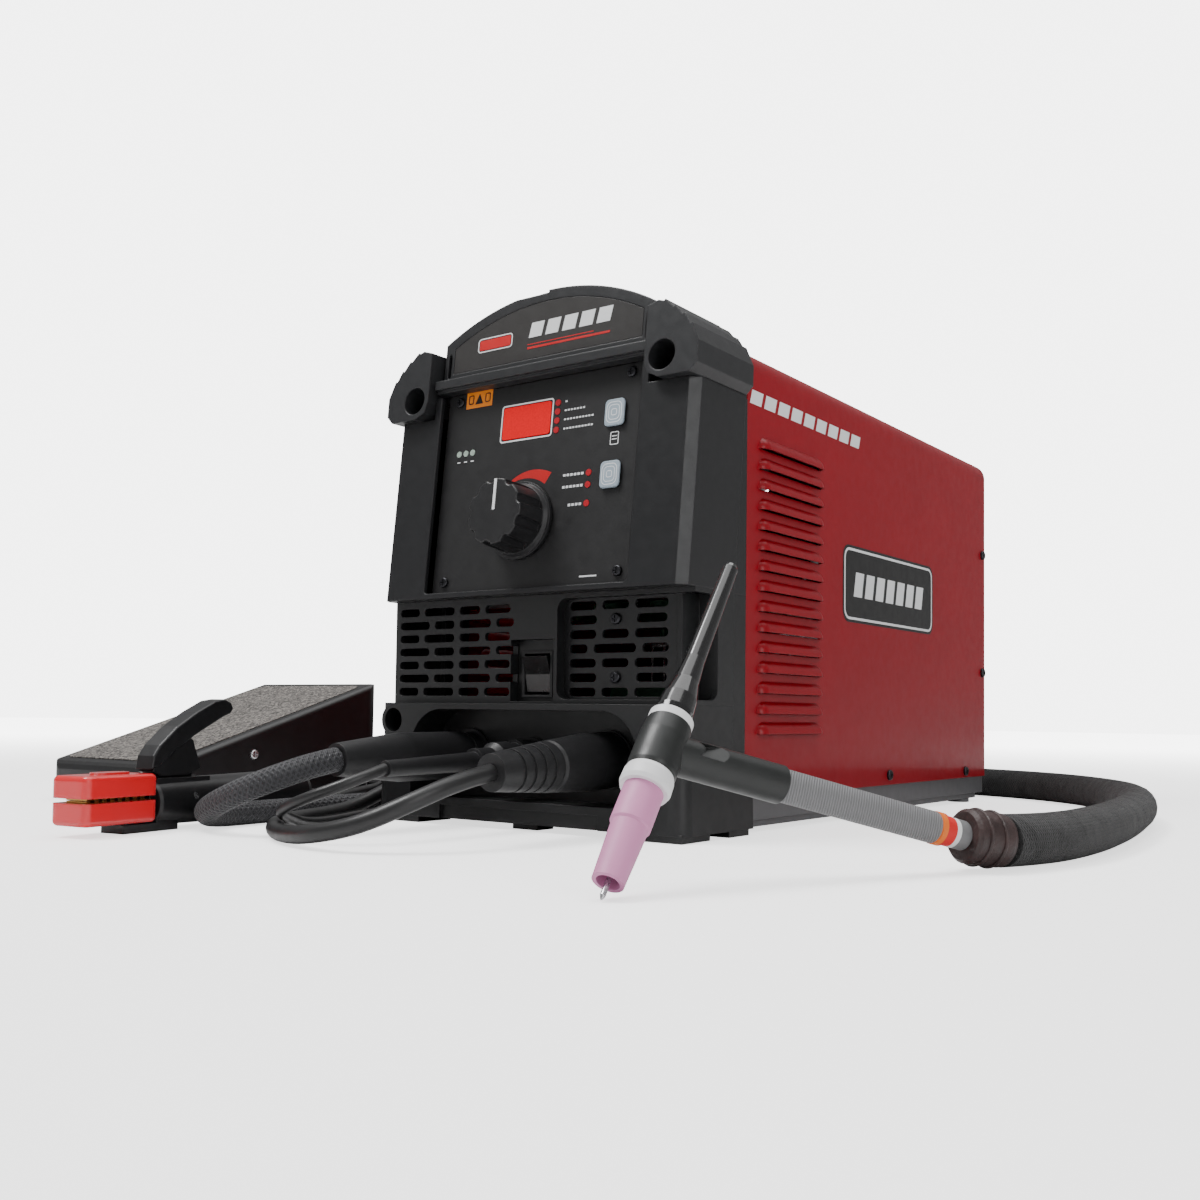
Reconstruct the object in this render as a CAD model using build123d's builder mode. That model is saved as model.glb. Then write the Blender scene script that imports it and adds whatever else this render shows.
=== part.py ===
"""TIG welding machine with its torch, foot pedal and electrode holder, joined by their leads.

Frame: X to the right, Y to the back, Z up, millimetres. The origin is on the floor, midway
between the machine's sides, below the middle of its tilted control panel.
"""
from build123d import *
from math import atan, cos, pi, radians, sin, tan
import os

os.makedirs("parts", exist_ok=True)

# ---------------------------------------------------------------- driving dimensions
# machine case
CASE_HALF = 121.5          # half width of the black front mouldings
BASE_HALF = 124.0          # half width of the base moulding at its foot
COVER_HALF = 117.5         # half width of the red sheet cover
COVER_FRONT = 66.0
COVER_BACK = 505.0
COVER_BOTTOM = 22.0
COVER_TOP = 306.0
COVER_BEND = 14.0          # bend radius of the cover's top corners
SHEET = 1.5
WALL = 3.5                 # thickness of the plastic mouldings
FRONT_Y = -14.5            # foremost face of the fascia's foot and of the base
LEAN = 6.1                 # backward lean of the fascia and control panel, degrees
FASCIA_BOTTOM = 148.0
FASCIA_SHOULDER = 272.0    # the corner bumpers sit above this height
FASCIA_TOP = 290.0
LEDGE_Z = 79.0             # top of the base moulding
BASE_SIDE_TOP = 48.0       # where its sides end beside the inset strip
SHELF_Z = 302.5            # underside of the shelf below the grip
GROOVE_Y = 44.5            # where the fascia's sides step in before the red cover

# control panel, in its own tilted plane
PANEL_Z = 220.8
PANEL_W = 163.0
PANEL_H = 138.0
PANEL_T = 2.0
PANEL_RECESS = 6.8         # depth of the panel below the fascia's columns
SCREW_X = 70.65
SCREW_V = 62.2
DISPLAY_AT = (-10.9, 41.8)
DISPLAY_SIZE = (40.0, 22.0)
KNOB_AT = (-8.0, -25.4)
KNOB_R = 21.0
SKIRT_R = 25.5
KNOB_FACE = 28.0           # height of the knob's face above the panel
BUTTON_AT = ((60.7, 37.4), (60.5, -1.8))
BUTTON_SIZE = (14.6, 17.0)
BUTTON_TRAVEL = 0.8
RED_LED_AT = ((14.2, 50.6), (14.2, 44.7), (14.2, 38.7), (14.2, 32.6),
              (42.9, 1.7), (42.9, -6.0), (43.0, -17.9))
PALE_LED_AT = ((-67.9, 25.8), (-61.9, 25.8), (-56.0, 25.8))
LED_R = 2.1

# middle section: air inlet slots and rocker switch
SLOT_PITCH = 9.0
SLOT_H = 5.4
SLOT_BOTTOM_Z = 86.6
SLOT_ROWS = 7
ROCKER_Z = 98.0
ROCKER_W = 20.0
ROCKER_H = 24.6
ROCKER_Y = 7.0             # height of the rocker's pivot behind the section's face
ROCKER_PIN = 23.2          # length of the rocker's pivot pin
NICHE_HALF = 17.5
BAY_X = (20.0, 108.0)      # right-hand inlet bay
INSERT_Y = 8.0

# base moulding and its connector bay
SOCKET_Z = 45.0
SOCKET_BACK = 14.0         # rear wall of the connector bay
TORCH_X = -62.0
REMOTE_X = -8.0
WORK_X = 52.0
BASE_HOLE_X = 108.0
BASE_HOLE_Z = 67.4
BASE_HOLE_R = 8.0

# corner bumpers and top handle
BUMPER_HOLE_X = 101.0
BUMPER_HOLE_Z = 285.3
BUMPER_HOLE_R = 9.4
BUMPER_BACK = 58.0
ARCH_TOP = 348.0
ARCH_R = 168.0
ARCH_HALF = 86.0
ARCH_BAND = 8.0
HANDLE_DEPTH = 36.0

# cover louvres
LOUVRE_COUNT = 15
LOUVRE_PITCH = 13.0
LOUVRE_TOP_Z = 243.6       # lower edge of the highest hood
LOUVRE_Y = (80.0, 171.0)

# fan
FAN_Z = 190.0
FAN_SIZE = 119.0
FAN_BACK = 496.0
FAN_DEPTH = 25.0
ROTOR_R = 53.0
HUB_R = 20.0
BLADES = 7

COVER_SCREWS = ((498.0, 221.4), (498.0, 114.9), (289.4, 29.5), (454.9, 27.7))

# torch
CUP_TIP = (212.0, -209.6, 6.9)
HEAD_AXIS = (-0.087, 0.658, 0.748)   # from the cup towards the back cap
HANDLE_AT = 68.0           # along the head's axis
HANDLE_END = (287.5, -23.6, 17.3)

# electrode holder and foot pedal
HOLDER_AT = (-159.6, -164.4)   # over the small foot block
HOLDER_HEADING = 100.0
HOLDER_AXIS_Z = 16.6
PEDAL_X = (-439.0, -289.0)
PEDAL_Y = (-68.0, 148.0)
PEDAL_PIVOT = (14.0, 38.0)     # Y and Z of the treadle's pivot

# cords
BRAID_D = 15.0
COVER_D = 26.0
HOLDER_CABLE_D = 10.0
PEDAL_CABLE_D = 6.5

BRAID_ROUTE = [
    (-62, -106, 44), (-62.5, -122, 41.5), (-72, -141, 34.5), (-91, -152, 26), (-114, -153, 17),
    (-133, -145, 10.5), (-144, -127, 7.6), (-147, -94, 7.6), (-151, -58, 7.6), (-155, -18, 7.6),
    (-156, 24, 7.6), (-153, 66, 7.6), (-145, 110, 7.6), (-140, 158, 7.6), (-139, 208, 7.6),
    (-144, 252, 7.6), (-160, 288, 8.4), (-188, 311, 10.4), (-222, 322, 12.8),
]
LEAD_COVER_ROUTE = [
    (299, -4, 14.2), (306, 22, 13.3), (312, 55, 13.1), (314, 95, 13.1), (313, 140, 13.1),
    (308, 195, 13.1), (301, 250, 13.1), (292, 310, 13.1), (277, 370, 13.1), (253, 428, 13.1),
    (220, 480, 13.1), (180, 522, 13.1), (133, 552, 13.1), (78, 571, 13.1), (15, 584, 13.1),
    (-54, 594, 16), (-114, 598, 28), (-172, 600, 45), (-230, 600.2, 59), (-290, 600, 65.2),
]
HOLDER_CABLE_ROUTE = [
    (52, -97, 40.4), (51, -120, 37), (43, -146, 27), (22, -166, 14), (-10, -171, 7.5),
    (-44, -160, 5.2), (-73, -142, 5.2), (-97, -120, 5.2), (-114, -92, 5.2), (-126, -58, 5.2),
    (-139, -20, 7), (-143, 22, 20), (-147, 56, 31), (-160, 92, 31), (-169, 126, 17),
    (-172, 158, 5.2), (-171, 185, 5.2),
]
HOLDER_TAIL_ROUTE = [
    (-291, 185, 15.2), (-288.5, 163, 12), (-280.5, 137, 6.5), (-271, 104, 5.2), (-251, 66, 5.2),
    (-222, 35, 5.6), (-198, 4, 9), (-182.6, -33.5, 16.6),
]
PEDAL_CABLE_ROUTE = [
    (-8, -118, 41), (-8.5, -131, 37.5), (-17.5, -146, 31), (-32, -154, 25), (-48, -154, 19.5),
    (-62, -146.5, 15), (-74, -131, 11), (-86, -109, 5.5), (-97, -84, 3.4), (-108, -58, 3.4),
    (-121, -32, 3.4), (-130.5, -2, 3.4), (-132, 34, 3.4), (-128, 72, 3.4), (-126, 112, 3.4),
    (-126, 152, 8), (-127, 194, 26), (-138, 232, 26), (-164, 262, 13), (-204, 277, 3.4),
    (-256, 280, 3.4), (-320, 272, 3.4), (-385, 267.5, 3.4),
]
PEDAL_TAIL_ROUTE = [
    (-434, 225, 9.9), (-432.5, 204, 8.6), (-426, 184, 8.6), (-418, 166, 11), (-415, 148.5, 14),
]
COVER_COIL_AT = (-290.0, 465.0)
COVER_COIL_R = 135.0
COVER_COIL_TURNS = 3               # turns lying on each other
HOLDER_COIL_AT = (-226.0, 185.0)
HOLDER_COIL_R = 55.0
HOLDER_COIL_BUNDLE = (3, 2)        # turns across and turns high
PEDAL_COIL_AT = (-385.0, 225.0)
PEDAL_COIL_R = 42.5
PEDAL_COIL_BUNDLE = (3, 5)


# ---------------------------------------------------------------- planes and small helpers
PANEL = Plane(
    origin=(0, 0, PANEL_Z),
    x_dir=(1, 0, 0),
    z_dir=(0, -cos(radians(LEAN)), sin(radians(LEAN))),
)
FRONT = Plane(origin=(0, 0, 0), x_dir=(1, 0, 0), z_dir=(0, -1, 0))
LEAN_DIR = (0, sin(radians(LEAN)), cos(radians(LEAN)))


def front_plane(y):
    """A vertical plane at y, seen from the front: X to the right, Z up, normal to the front."""
    return Plane(origin=(0, y, 0), x_dir=(1, 0, 0), z_dir=(0, -1, 0))


def block(x, y, z, mode=Mode.ADD):
    """A box between the given pairs of limits, in the builder that is open."""
    with Locations(((x[0] + x[1]) / 2, (y[0] + y[1]) / 2, (z[0] + z[1]) / 2)):
        Box(x[1] - x[0], y[1] - y[0], z[1] - z[0], mode=mode)


def outline(plane, points, amount, mode=Mode.ADD):
    """A polygon on a plane, extruded along the plane's normal, in the builder that is open."""
    with BuildSketch(plane, mode=Mode.PRIVATE) as face:
        with BuildLine():
            Polyline(*points, close=True)
        make_face()
    extrude(face.sketch, amount=amount, mode=mode)


def plate(plane, width, height, at, amount, radius=0.0, mode=Mode.ADD):
    """A rectangle on a plane, with rounded corners if asked, extruded along the normal."""
    with BuildSketch(plane, mode=Mode.PRIVATE) as face:
        with Locations(at):
            if radius:
                RectangleRounded(width, height, radius)
            else:
                Rectangle(width, height)
    extrude(face.sketch, amount=amount, mode=mode)


def rod(plane, radius, at, amount, mode=Mode.ADD):
    """Round rods on a plane at one or more points, extruded along the normal."""
    with BuildSketch(plane, mode=Mode.PRIVATE) as face:
        with Locations(*at):
            Circle(radius)
    extrude(face.sketch, amount=amount, mode=mode)


def turned(plane, profile):
    """A solid of revolution about a plane's normal; the profile is (distance along, radius)."""
    with BuildPart(mode=Mode.PRIVATE) as body:
        section = Plane(origin=plane.origin, x_dir=plane.z_dir, z_dir=plane.y_dir)
        with BuildSketch(section) as face:
            with BuildLine():
                Polyline(
                    (profile[0][0], 0),
                    *profile,
                    (profile[-1][0], 0),
                    close=True,
                )
            make_face()
        revolve(axis=Axis(plane.origin, plane.z_dir))
    return body.part


def axis_plane(start, end):
    """A plane at start whose normal runs towards end."""
    direction = Vector(*end) - Vector(*start)
    side = Vector(0, 0, 1).cross(direction)
    return Plane(origin=start, x_dir=side, z_dir=direction)


def corner_radii(points):
    """The largest sensible fillet at each corner of a cord's route."""
    radii = []
    for before, corner, after in zip(points, points[1:], points[2:]):
        run_in = Vector(*corner) - Vector(*before)
        run_out = Vector(*after) - Vector(*corner)
        half_turn = radians(run_in.get_angle(run_out)) / 2
        shorter = min(run_in.length, run_out.length)
        radii.append(0.45 * shorter / tan(half_turn))
    return radii


def cord(points, diameter, name):
    """A round cord along straight runs joined by tangent arcs."""
    radii = corner_radii(points)
    with BuildPart() as tube:
        with BuildLine() as path:
            FilletPolyline(*points, radius=radii)
        wire = path.wires()[0]
        with BuildSketch(Plane(origin=wire @ 0, z_dir=wire % 0)):
            Circle(diameter / 2)
        sweep(path=wire)
    length = wire.length
    filled = tube.part.volume / (pi * diameter ** 2 / 4 * length)
    print(f"{name}: length {length:.0f}, smallest radius {min(radii) / diameter:.1f} diameters,",
          f"volume ratio {filled:.4f}")
    return tube.part


def ring(centre, inner, outer, height):
    """The outer shape of a coil that lies flat on the floor, with rounded edges."""
    edge = min(height, outer - inner) * 0.3
    with BuildPart() as coil:
        with BuildSketch(Plane.XY.offset(0.2)):
            with Locations(centre):
                Circle(outer)
                Circle(inner, mode=Mode.SUBTRACT)
        extrude(amount=height)
        fillet(coil.edges().filter_by(GeomType.CIRCLE), edge)
    return coil.part


def save(part, name):
    part.label = name
    export_step(part, f"parts/{name}.step")


# ---------------------------------------------------------------- upper fascia
def fascia_plan(inset, step_in):
    """The fascia's plan outline: bevelled front corners, sides that step in at the groove."""
    half = CASE_HALF - inset
    groove_half = CASE_HALF - step_in - inset
    front = FRONT_Y + inset
    bevel = 5.0
    return [
        (-half + bevel, front), (half - bevel, front), (half, front + bevel * 1.4),
        (half, GROOVE_Y), (groove_half, GROOVE_Y), (groove_half, COVER_FRONT + 30),
        (-groove_half, COVER_FRONT + 30), (-groove_half, GROOVE_Y), (-half, GROOVE_Y),
        (-half, front + bevel * 1.4),
    ]


def lean_extrude(points, z, height, mode=Mode.ADD):
    """A plan outline at height z, carried up along the fascia's lean."""
    with BuildSketch(Plane.XY.offset(z), mode=Mode.PRIVATE) as plan:
        with BuildLine():
            Polyline(*points, close=True)
        make_face()
    extrude(plan.sketch, amount=height / cos(radians(LEAN)), dir=LEAN_DIR, mode=mode)


with BuildPart() as upper_fascia:
    lean_extrude(fascia_plan(0, 4.0), FASCIA_BOTTOM, FASCIA_TOP - FASCIA_BOTTOM)
    lean_extrude(fascia_plan(WALL, 4.0), FASCIA_BOTTOM + WALL,
                 FASCIA_TOP - FASCIA_BOTTOM - 2 * WALL, mode=Mode.SUBTRACT)
    block((-130, 130), (COVER_FRONT, 130), (140, 300), mode=Mode.SUBTRACT)
    # pocket for the control panel, and a landing for it to be screwed to
    plate(PANEL.offset(-6), 2 * 81.4, 155, (0, 5.5), 4, mode=Mode.ADD)
    plate(PANEL.offset(-PANEL_T), 165, 157, (0, 8), 30, radius=3, mode=Mode.SUBTRACT)
    plate(PANEL.offset(-12), 132, 112, (0, 0), 14, radius=4, mode=Mode.SUBTRACT)
    rod(PANEL.offset(-9), 1.4, [(x, v) for x in (-SCREW_X, SCREW_X) for v in (-SCREW_V, SCREW_V)],
        12, mode=Mode.SUBTRACT)
    # shoulders for the two corner bumpers, and room for the handle's header
    for side in (-1, 1):
        block(sorted((side * 87.5, side * 130)), (-20, 70), (FASCIA_SHOULDER, 300),
              mode=Mode.SUBTRACT)
    block((-88, 88), (-20, 14), (FASCIA_TOP - 3.5, 300), mode=Mode.SUBTRACT)
    # shelf under the grip, level with the red cover
    block((-87.5, 87.5), (11, COVER_FRONT), (SHELF_Z, COVER_TOP))
    block((-87.5, 87.5), (11, 14.5), (FASCIA_TOP - 6, SHELF_Z + 1))
    with BuildSketch(front_plane(COVER_FRONT), mode=Mode.PRIVATE) as rear_wall:
        with Locations((0, (FASCIA_TOP - 8 + COVER_TOP) / 2)):
            Rectangle(2 * COVER_HALF, COVER_TOP - FASCIA_TOP + 8)
        fillet(rear_wall.vertices().group_by(Axis.Y)[-1], COVER_BEND)
    extrude(rear_wall.sketch, amount=3)
save(upper_fascia.part, "upper_fascia")

# ---------------------------------------------------------------- control panel and what it carries
with BuildPart() as control_panel:
    plate(PANEL, PANEL_W - 0.6, PANEL_H, (0, -1.2), -PANEL_T, radius=3)
    plate(PANEL.offset(-4), *DISPLAY_SIZE, DISPLAY_AT, 8, radius=2, mode=Mode.SUBTRACT)
    rod(PANEL.offset(-4), LED_R + 0.15, RED_LED_AT + PALE_LED_AT, 8, mode=Mode.SUBTRACT)
    rod(PANEL.offset(-4), 4.0, [KNOB_AT], 8, mode=Mode.SUBTRACT)
    plate(PANEL.offset(-4), 6.6, 6.6, BUTTON_AT[0], 8, mode=Mode.SUBTRACT)
    plate(PANEL.offset(-4), 6.6, 6.6, BUTTON_AT[1], 8, mode=Mode.SUBTRACT)
    rod(PANEL.offset(-4), 1.9, [(x, v) for x in (-SCREW_X, SCREW_X) for v in (-SCREW_V, SCREW_V)],
        8, mode=Mode.SUBTRACT)
save(control_panel.part, "control_panel")

with BuildPart() as display_window:
    plate(PANEL.offset(-PANEL_T), DISPLAY_SIZE[0] - 0.3, DISPLAY_SIZE[1] - 0.3, DISPLAY_AT, 2.5,
          radius=1.8)
save(display_window.part, "display_window")

with BuildPart() as indicator_leds:
    rod(PANEL.offset(-PANEL_T), LED_R, RED_LED_AT + PALE_LED_AT, 2.3)
save(indicator_leds.part, "indicator_leds")


def push_button(at):
    """A square keycap on a short stem that passes through the panel."""
    with BuildPart() as button:
        plate(PANEL.offset(1.0), *BUTTON_SIZE, at, 1.5, radius=3)
        plate(PANEL.offset(-3.0), 6, 6, at, 4.0)
        chamfer(button.faces().sort_by(Axis(PANEL.origin, PANEL.z_dir))[-1].edges(), 0.5)
    return button.part


save(push_button(BUTTON_AT[0]), "mode_button")
save(push_button(BUTTON_AT[1]), "process_button")

with BuildPart() as knob:
    rod(PANEL.offset(1.0), SKIRT_R, [KNOB_AT], 2.5)
    with BuildSketch(PANEL.offset(3.5)):
        with Locations(KNOB_AT):
            Circle(SKIRT_R - 1.5)
    with BuildSketch(PANEL.offset(6.0)):
        with Locations(KNOB_AT):
            Circle(KNOB_R + 1.5)
    loft()
    with BuildSketch(PANEL.offset(6.0), mode=Mode.PRIVATE) as grip:
        with Locations(KNOB_AT):
            Circle(KNOB_R + 1.2)
            with PolarLocations(KNOB_R + 2.4, 9, start_angle=20):
                Circle(3.4, mode=Mode.SUBTRACT)
    extrude(grip.sketch, amount=KNOB_FACE - 6.0, taper=2.5)
    fillet(knob.faces().sort_by(Axis(PANEL.origin, PANEL.z_dir))[-1].edges(), 1.2)
    # pointer groove across the face
    plate(PANEL.offset(KNOB_FACE - 0.6), 2.2, KNOB_R - 1, (KNOB_AT[0], KNOB_AT[1] + KNOB_R / 2),
          2, radius=1.0, mode=Mode.SUBTRACT)
    rod(PANEL.offset(-11), 3.0, [KNOB_AT], 13)
save(knob.part, "knob")

with BuildPart() as control_board:
    plate(PANEL.offset(-18), 152, 104, (0, 0), 1.8)
    rod(PANEL.offset(-16.2), 3, [(x, v) for x in (-72, 72) for v in (-44, 44)], 10.2)
    plate(PANEL.offset(-16.2), 42, 24, DISPLAY_AT, 11)
    for v in (-38, 20):
        plate(PANEL.offset(-16.2), 26, 14, (30, v), 5)
    # the knob's potentiometer
    rod(PANEL.offset(-16.2), 8.5, [KNOB_AT], 12.2)
    rod(PANEL.offset(-4), 3.85, [KNOB_AT], 3.8)
    rod(PANEL.offset(-12), 3.05, [KNOB_AT], 14, mode=Mode.SUBTRACT)
save(control_board.part, "control_board")

# ---------------------------------------------------------------- middle section with the air inlets
SHORT_SLOT = 18.0
LONG_SLOT = 27.6
SLOT_GAP = 4.6


def inlet_row(row, left, lengths):
    """Centres and lengths of one row's slots, from its left end."""
    z = SLOT_BOTTOM_Z + SLOT_PITCH * row
    slots = []
    x = left
    for length in lengths:
        slots.append((x + length / 2, z, length))
        x += length + SLOT_GAP
    return slots


def cut_slots(slots, y, depth):
    """Stadium slots through a plate that faces the front."""
    for x, z, length in slots:
        plate(front_plane(y), length, SLOT_H, (x, z), -depth, radius=SLOT_H / 2 - 0.05,
              mode=Mode.SUBTRACT)


with BuildPart() as inlet_panel:
    block((-CASE_HALF, CASE_HALF), (0, GROOVE_Y), (LEDGE_Z, FASCIA_BOTTOM))
    block((-CASE_HALF + WALL, CASE_HALF - WALL), (3, GROOVE_Y - 3), (LEDGE_Z - 5, 155),
          mode=Mode.SUBTRACT)
    # inset strip beside the red cover
    block((-COVER_HALF, COVER_HALF), (GROOVE_Y - 3, COVER_FRONT), (BASE_SIDE_TOP, FASCIA_BOTTOM))
    block((-COVER_HALF + WALL, COVER_HALF - WALL), (GROOVE_Y - 5, COVER_FRONT + 1),
          (BASE_SIDE_TOP - 1, FASCIA_BOTTOM + 1), mode=Mode.SUBTRACT)
    # walls of the rocker's niche and of the right-hand bay
    block((-NICHE_HALF - 4, 18.2), (3, 8.2), (LEDGE_Z, 122.5))
    block((18.2, BAY_X[1] + 2), (3, INSERT_Y), (LEDGE_Z, FASCIA_BOTTOM))
    for row in range(SLOT_ROWS):
        if row % 2 == 0:
            lengths = (SHORT_SLOT, LONG_SLOT, SHORT_SLOT, LONG_SLOT - 6)
        else:
            lengths = (LONG_SLOT, SHORT_SLOT, LONG_SLOT, SHORT_SLOT - 3)
        cut_slots(inlet_row(row, -117.3, lengths), -1, 8)
    block((-NICHE_HALF, NICHE_HALF), (-2, 9), (LEDGE_Z + 1.5, 120), mode=Mode.SUBTRACT)
    # right-hand bay, which runs round the corner of the case
    plate(front_plane(-1), 130, 63, (BAY_X[0] + 65, 113.5), -(INSERT_Y + 1), radius=7,
          mode=Mode.SUBTRACT)
    plate(Plane.YZ.offset(BAY_X[1]), 60, 63, (-4, 113.5), 20, radius=7, mode=Mode.SUBTRACT)
    block((BAY_X[1] - 3, BAY_X[1] + 0.2), (INSERT_Y - 1, 29), (81, 146.2))
    block((BAY_X[1] - 3, CASE_HALF - WALL + 0.5), (26, 29), (80, 147))
save(inlet_panel.part, "inlet_panel")

with BuildPart() as inlet_insert:
    block((18.8, BAY_X[1] - 3.2), (INSERT_Y, INSERT_Y + 2.5), (81, 146.5))
    for row in range(SLOT_ROWS):
        if row in (1, 5):
            # the two screws take the middle of these rows
            z = SLOT_BOTTOM_Z + SLOT_PITCH * row
            cut_slots([(34.5, z, 21), (86, z, 22)], INSERT_Y - 1, 6)
        elif row % 2 == 0:
            cut_slots(inlet_row(row, 24.0, (20.5, 20.0, 24.0)), INSERT_Y - 1, 6)
        else:
            cut_slots(inlet_row(row, 24.0, (14.0, 32.0, 19.0)), INSERT_Y - 1, 6)
    rod(front_plane(INSERT_Y - 1), 1.45, [(60, SLOT_BOTTOM_Z + SLOT_PITCH * row) for row in (1, 5)],
        -6, mode=Mode.SUBTRACT)
save(inlet_insert.part, "inlet_insert")

with BuildPart() as rocker_housing:
    block((-NICHE_HALF - 4, 18.6), (8.2, 10.4), (LEDGE_Z + 1, 122))
    block((-ROCKER_W / 2 - 2.5, ROCKER_W / 2 + 2.5), (5.5, 30),
          (ROCKER_Z - ROCKER_H / 2 - 2.5, ROCKER_Z + ROCKER_H / 2 + 2.5))
    block((-ROCKER_W / 2 - 0.4, ROCKER_W / 2 + 0.4), (0, 24),
          (ROCKER_Z - ROCKER_H / 2 - 0.9, ROCKER_Z + ROCKER_H / 2 + 0.9), mode=Mode.SUBTRACT)
    rod(Plane.YZ.offset(-ROCKER_PIN / 2 - 0.2), 1.6, [(11.0, ROCKER_Z)], ROCKER_PIN + 0.4,
        mode=Mode.SUBTRACT)
save(rocker_housing.part, "rocker_housing")

with BuildPart() as rocker_paddle:
    # a shallow V in side view, with its upper half proud at rest
    outline(Plane.YZ.offset(-ROCKER_W / 2),
            [(2.2, ROCKER_Z + ROCKER_H / 2 - 1), (6.0, ROCKER_Z), (7.4, ROCKER_Z - ROCKER_H / 2 + 1),
             (11.5, ROCKER_Z - ROCKER_H / 2 + 2.5), (13.0, ROCKER_Z),
             (8.0, ROCKER_Z + ROCKER_H / 2 - 0.6)],
            ROCKER_W)
    rod(Plane.YZ.offset(-ROCKER_PIN / 2), 1.5, [(11.0, ROCKER_Z)], ROCKER_PIN)
save(rocker_paddle.part, "rocker_paddle")

# ---------------------------------------------------------------- base moulding and connector bay
with BuildPart() as base_moulding:
    with BuildSketch(Plane.XY.offset(4)):
        with Locations((0, (FRONT_Y + COVER_FRONT + 20) / 2)):
            RectangleRounded(2 * CASE_HALF, COVER_FRONT + 20 - FRONT_Y, 9)
    extrude(amount=LEDGE_Z - 4)
    with BuildSketch(Plane.XY.offset(4)):
        with Locations((0, (FRONT_Y + COVER_FRONT + 20) / 2)):
            RectangleRounded(2 * BASE_HALF, COVER_FRONT + 20 - FRONT_Y, 10)
    extrude(amount=43, taper=1.5)
    block((-140, 140), (COVER_FRONT, 120), (0, 100), mode=Mode.SUBTRACT)
    block((-CASE_HALF + WALL, CASE_HALF - WALL), (FRONT_Y + WALL, 80), (7.5, LEDGE_Z - WALL),
          mode=Mode.SUBTRACT)
    # the deck ends below the middle section, and the sides drop to a low ledge
    block((-CASE_HALF + WALL, CASE_HALF - WALL), (6, 80), (50, LEDGE_Z + 2), mode=Mode.SUBTRACT)
    block((-140, 140), (GROOVE_Y - 3, 80), (BASE_SIDE_TOP, LEDGE_Z + 2), mode=Mode.SUBTRACT)
    block((-CASE_HALF, CASE_HALF), (GROOVE_Y - 3, GROOVE_Y), (BASE_SIDE_TOP, LEDGE_Z))
    block((-COVER_HALF, COVER_HALF), (GROOVE_Y - 3.1, GROOVE_Y + 1), (BASE_SIDE_TOP, LEDGE_Z + 1),
          mode=Mode.SUBTRACT)
    # walls of the connector bay, then its mouth
    block((-96, 96), (FRONT_Y, SOCKET_BACK + 3), (14, LEDGE_Z - 0.5))
    plate(front_plane(FRONT_Y - 5), 182, 90, (0, 30), -(SOCKET_BACK - FRONT_Y + 5), radius=26,
          mode=Mode.SUBTRACT)
    block((-96, 96), (FRONT_Y, SOCKET_BACK + 3), (4, 18))
    # holes for the three sockets
    rod(front_plane(SOCKET_BACK - 2), 13.0, [(TORCH_X, SOCKET_Z), (WORK_X, SOCKET_Z)], -10,
        mode=Mode.SUBTRACT)
    rod(front_plane(SOCKET_BACK - 2), 9.0, [(REMOTE_X, SOCKET_Z)], -10, mode=Mode.SUBTRACT)
    # blind round sockets at the two upper corners
    rod(front_plane(FRONT_Y), BASE_HOLE_R + 3, [(-BASE_HOLE_X, BASE_HOLE_Z),
                                                (BASE_HOLE_X, BASE_HOLE_Z)], -32)
    rod(front_plane(FRONT_Y - 2), BASE_HOLE_R, [(-BASE_HOLE_X, BASE_HOLE_Z),
                                                (BASE_HOLE_X, BASE_HOLE_Z)], -31,
        mode=Mode.SUBTRACT)
    block((-140, 140), (-30, 80), (LEDGE_Z, 100), mode=Mode.SUBTRACT)
    # corner feet, with the lip between them set back and raised
    for side in (-1, 1):
        for y in ((FRONT_Y + 1.5, 18), (40, COVER_FRONT - 2)):
            block(sorted((side * 84, side * (BASE_HALF - 2))), y, (0, 5))
    block((-64, 64), (FRONT_Y - 5, FRONT_Y + 2.5), (0, 13), mode=Mode.SUBTRACT)
    block((-10, 10), (-4, 12), (0, 5))
save(base_moulding.part, "base_moulding")

# ---------------------------------------------------------------- corner bumpers
BUMPER_POINTS = [(88.5, 283), (91, 276), (99, 272), (121, 272), (126, 277), (126.2, 290)]
RIB_COUNT = 4


def bumper_outline():
    """Front view of the right bumper: a ribbed outer slope between a foot and a peak."""
    points = list(BUMPER_POINTS)
    low = Vector(125.6, 296)
    high = Vector(99, 319.5)
    step = (high - low) / RIB_COUNT
    for rib in range(RIB_COUNT):
        start = low + step * rib
        bulge = 2.2 * sin(pi * (rib + 0.5) / RIB_COUNT)
        outward = Vector(0.66, 0.75)
        mid = start + step * 0.82 + outward * (bulge + 0.5)
        notch = start + step * 0.84 + outward * (bulge - 0.9)
        points.append((mid.X, mid.Y))
        points.append((notch.X, notch.Y))
    points.append((96, 319.8))
    points.append((88.5, 317.5))
    return points


def bumper(side):
    """One corner bumper; the left one is the mirror of the right one."""
    with BuildPart() as corner:
        outline(front_plane(BUMPER_BACK), bumper_outline(), BUMPER_BACK + 14)
        split(bisect_by=Plane(origin=(0, FRONT_Y + 5.5, FASCIA_SHOULDER), x_dir=(1, 0, 0),
                              z_dir=(0, cos(radians(LEAN)), -sin(radians(LEAN)))),
              keep=Keep.TOP)
        with Locations(Plane(origin=(BUMPER_HOLE_X, FRONT_Y - 2, BUMPER_HOLE_Z),
                             x_dir=(1, 0, 0), z_dir=(0, -1, 0))):
            Cylinder(BUMPER_HOLE_R, 96, mode=Mode.SUBTRACT)
        if side < 0:
            mirror(about=Plane.YZ, mode=Mode.REPLACE)
    return corner.part


save(bumper(1), "bumper_right")
save(bumper(-1), "bumper_left")

# ---------------------------------------------------------------- top handle
HEADER = PANEL.offset(3.0)


def header_v(z):
    """Distance up the header's plane of a point at height z."""
    return (z - PANEL_Z) / cos(radians(LEAN))


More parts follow.
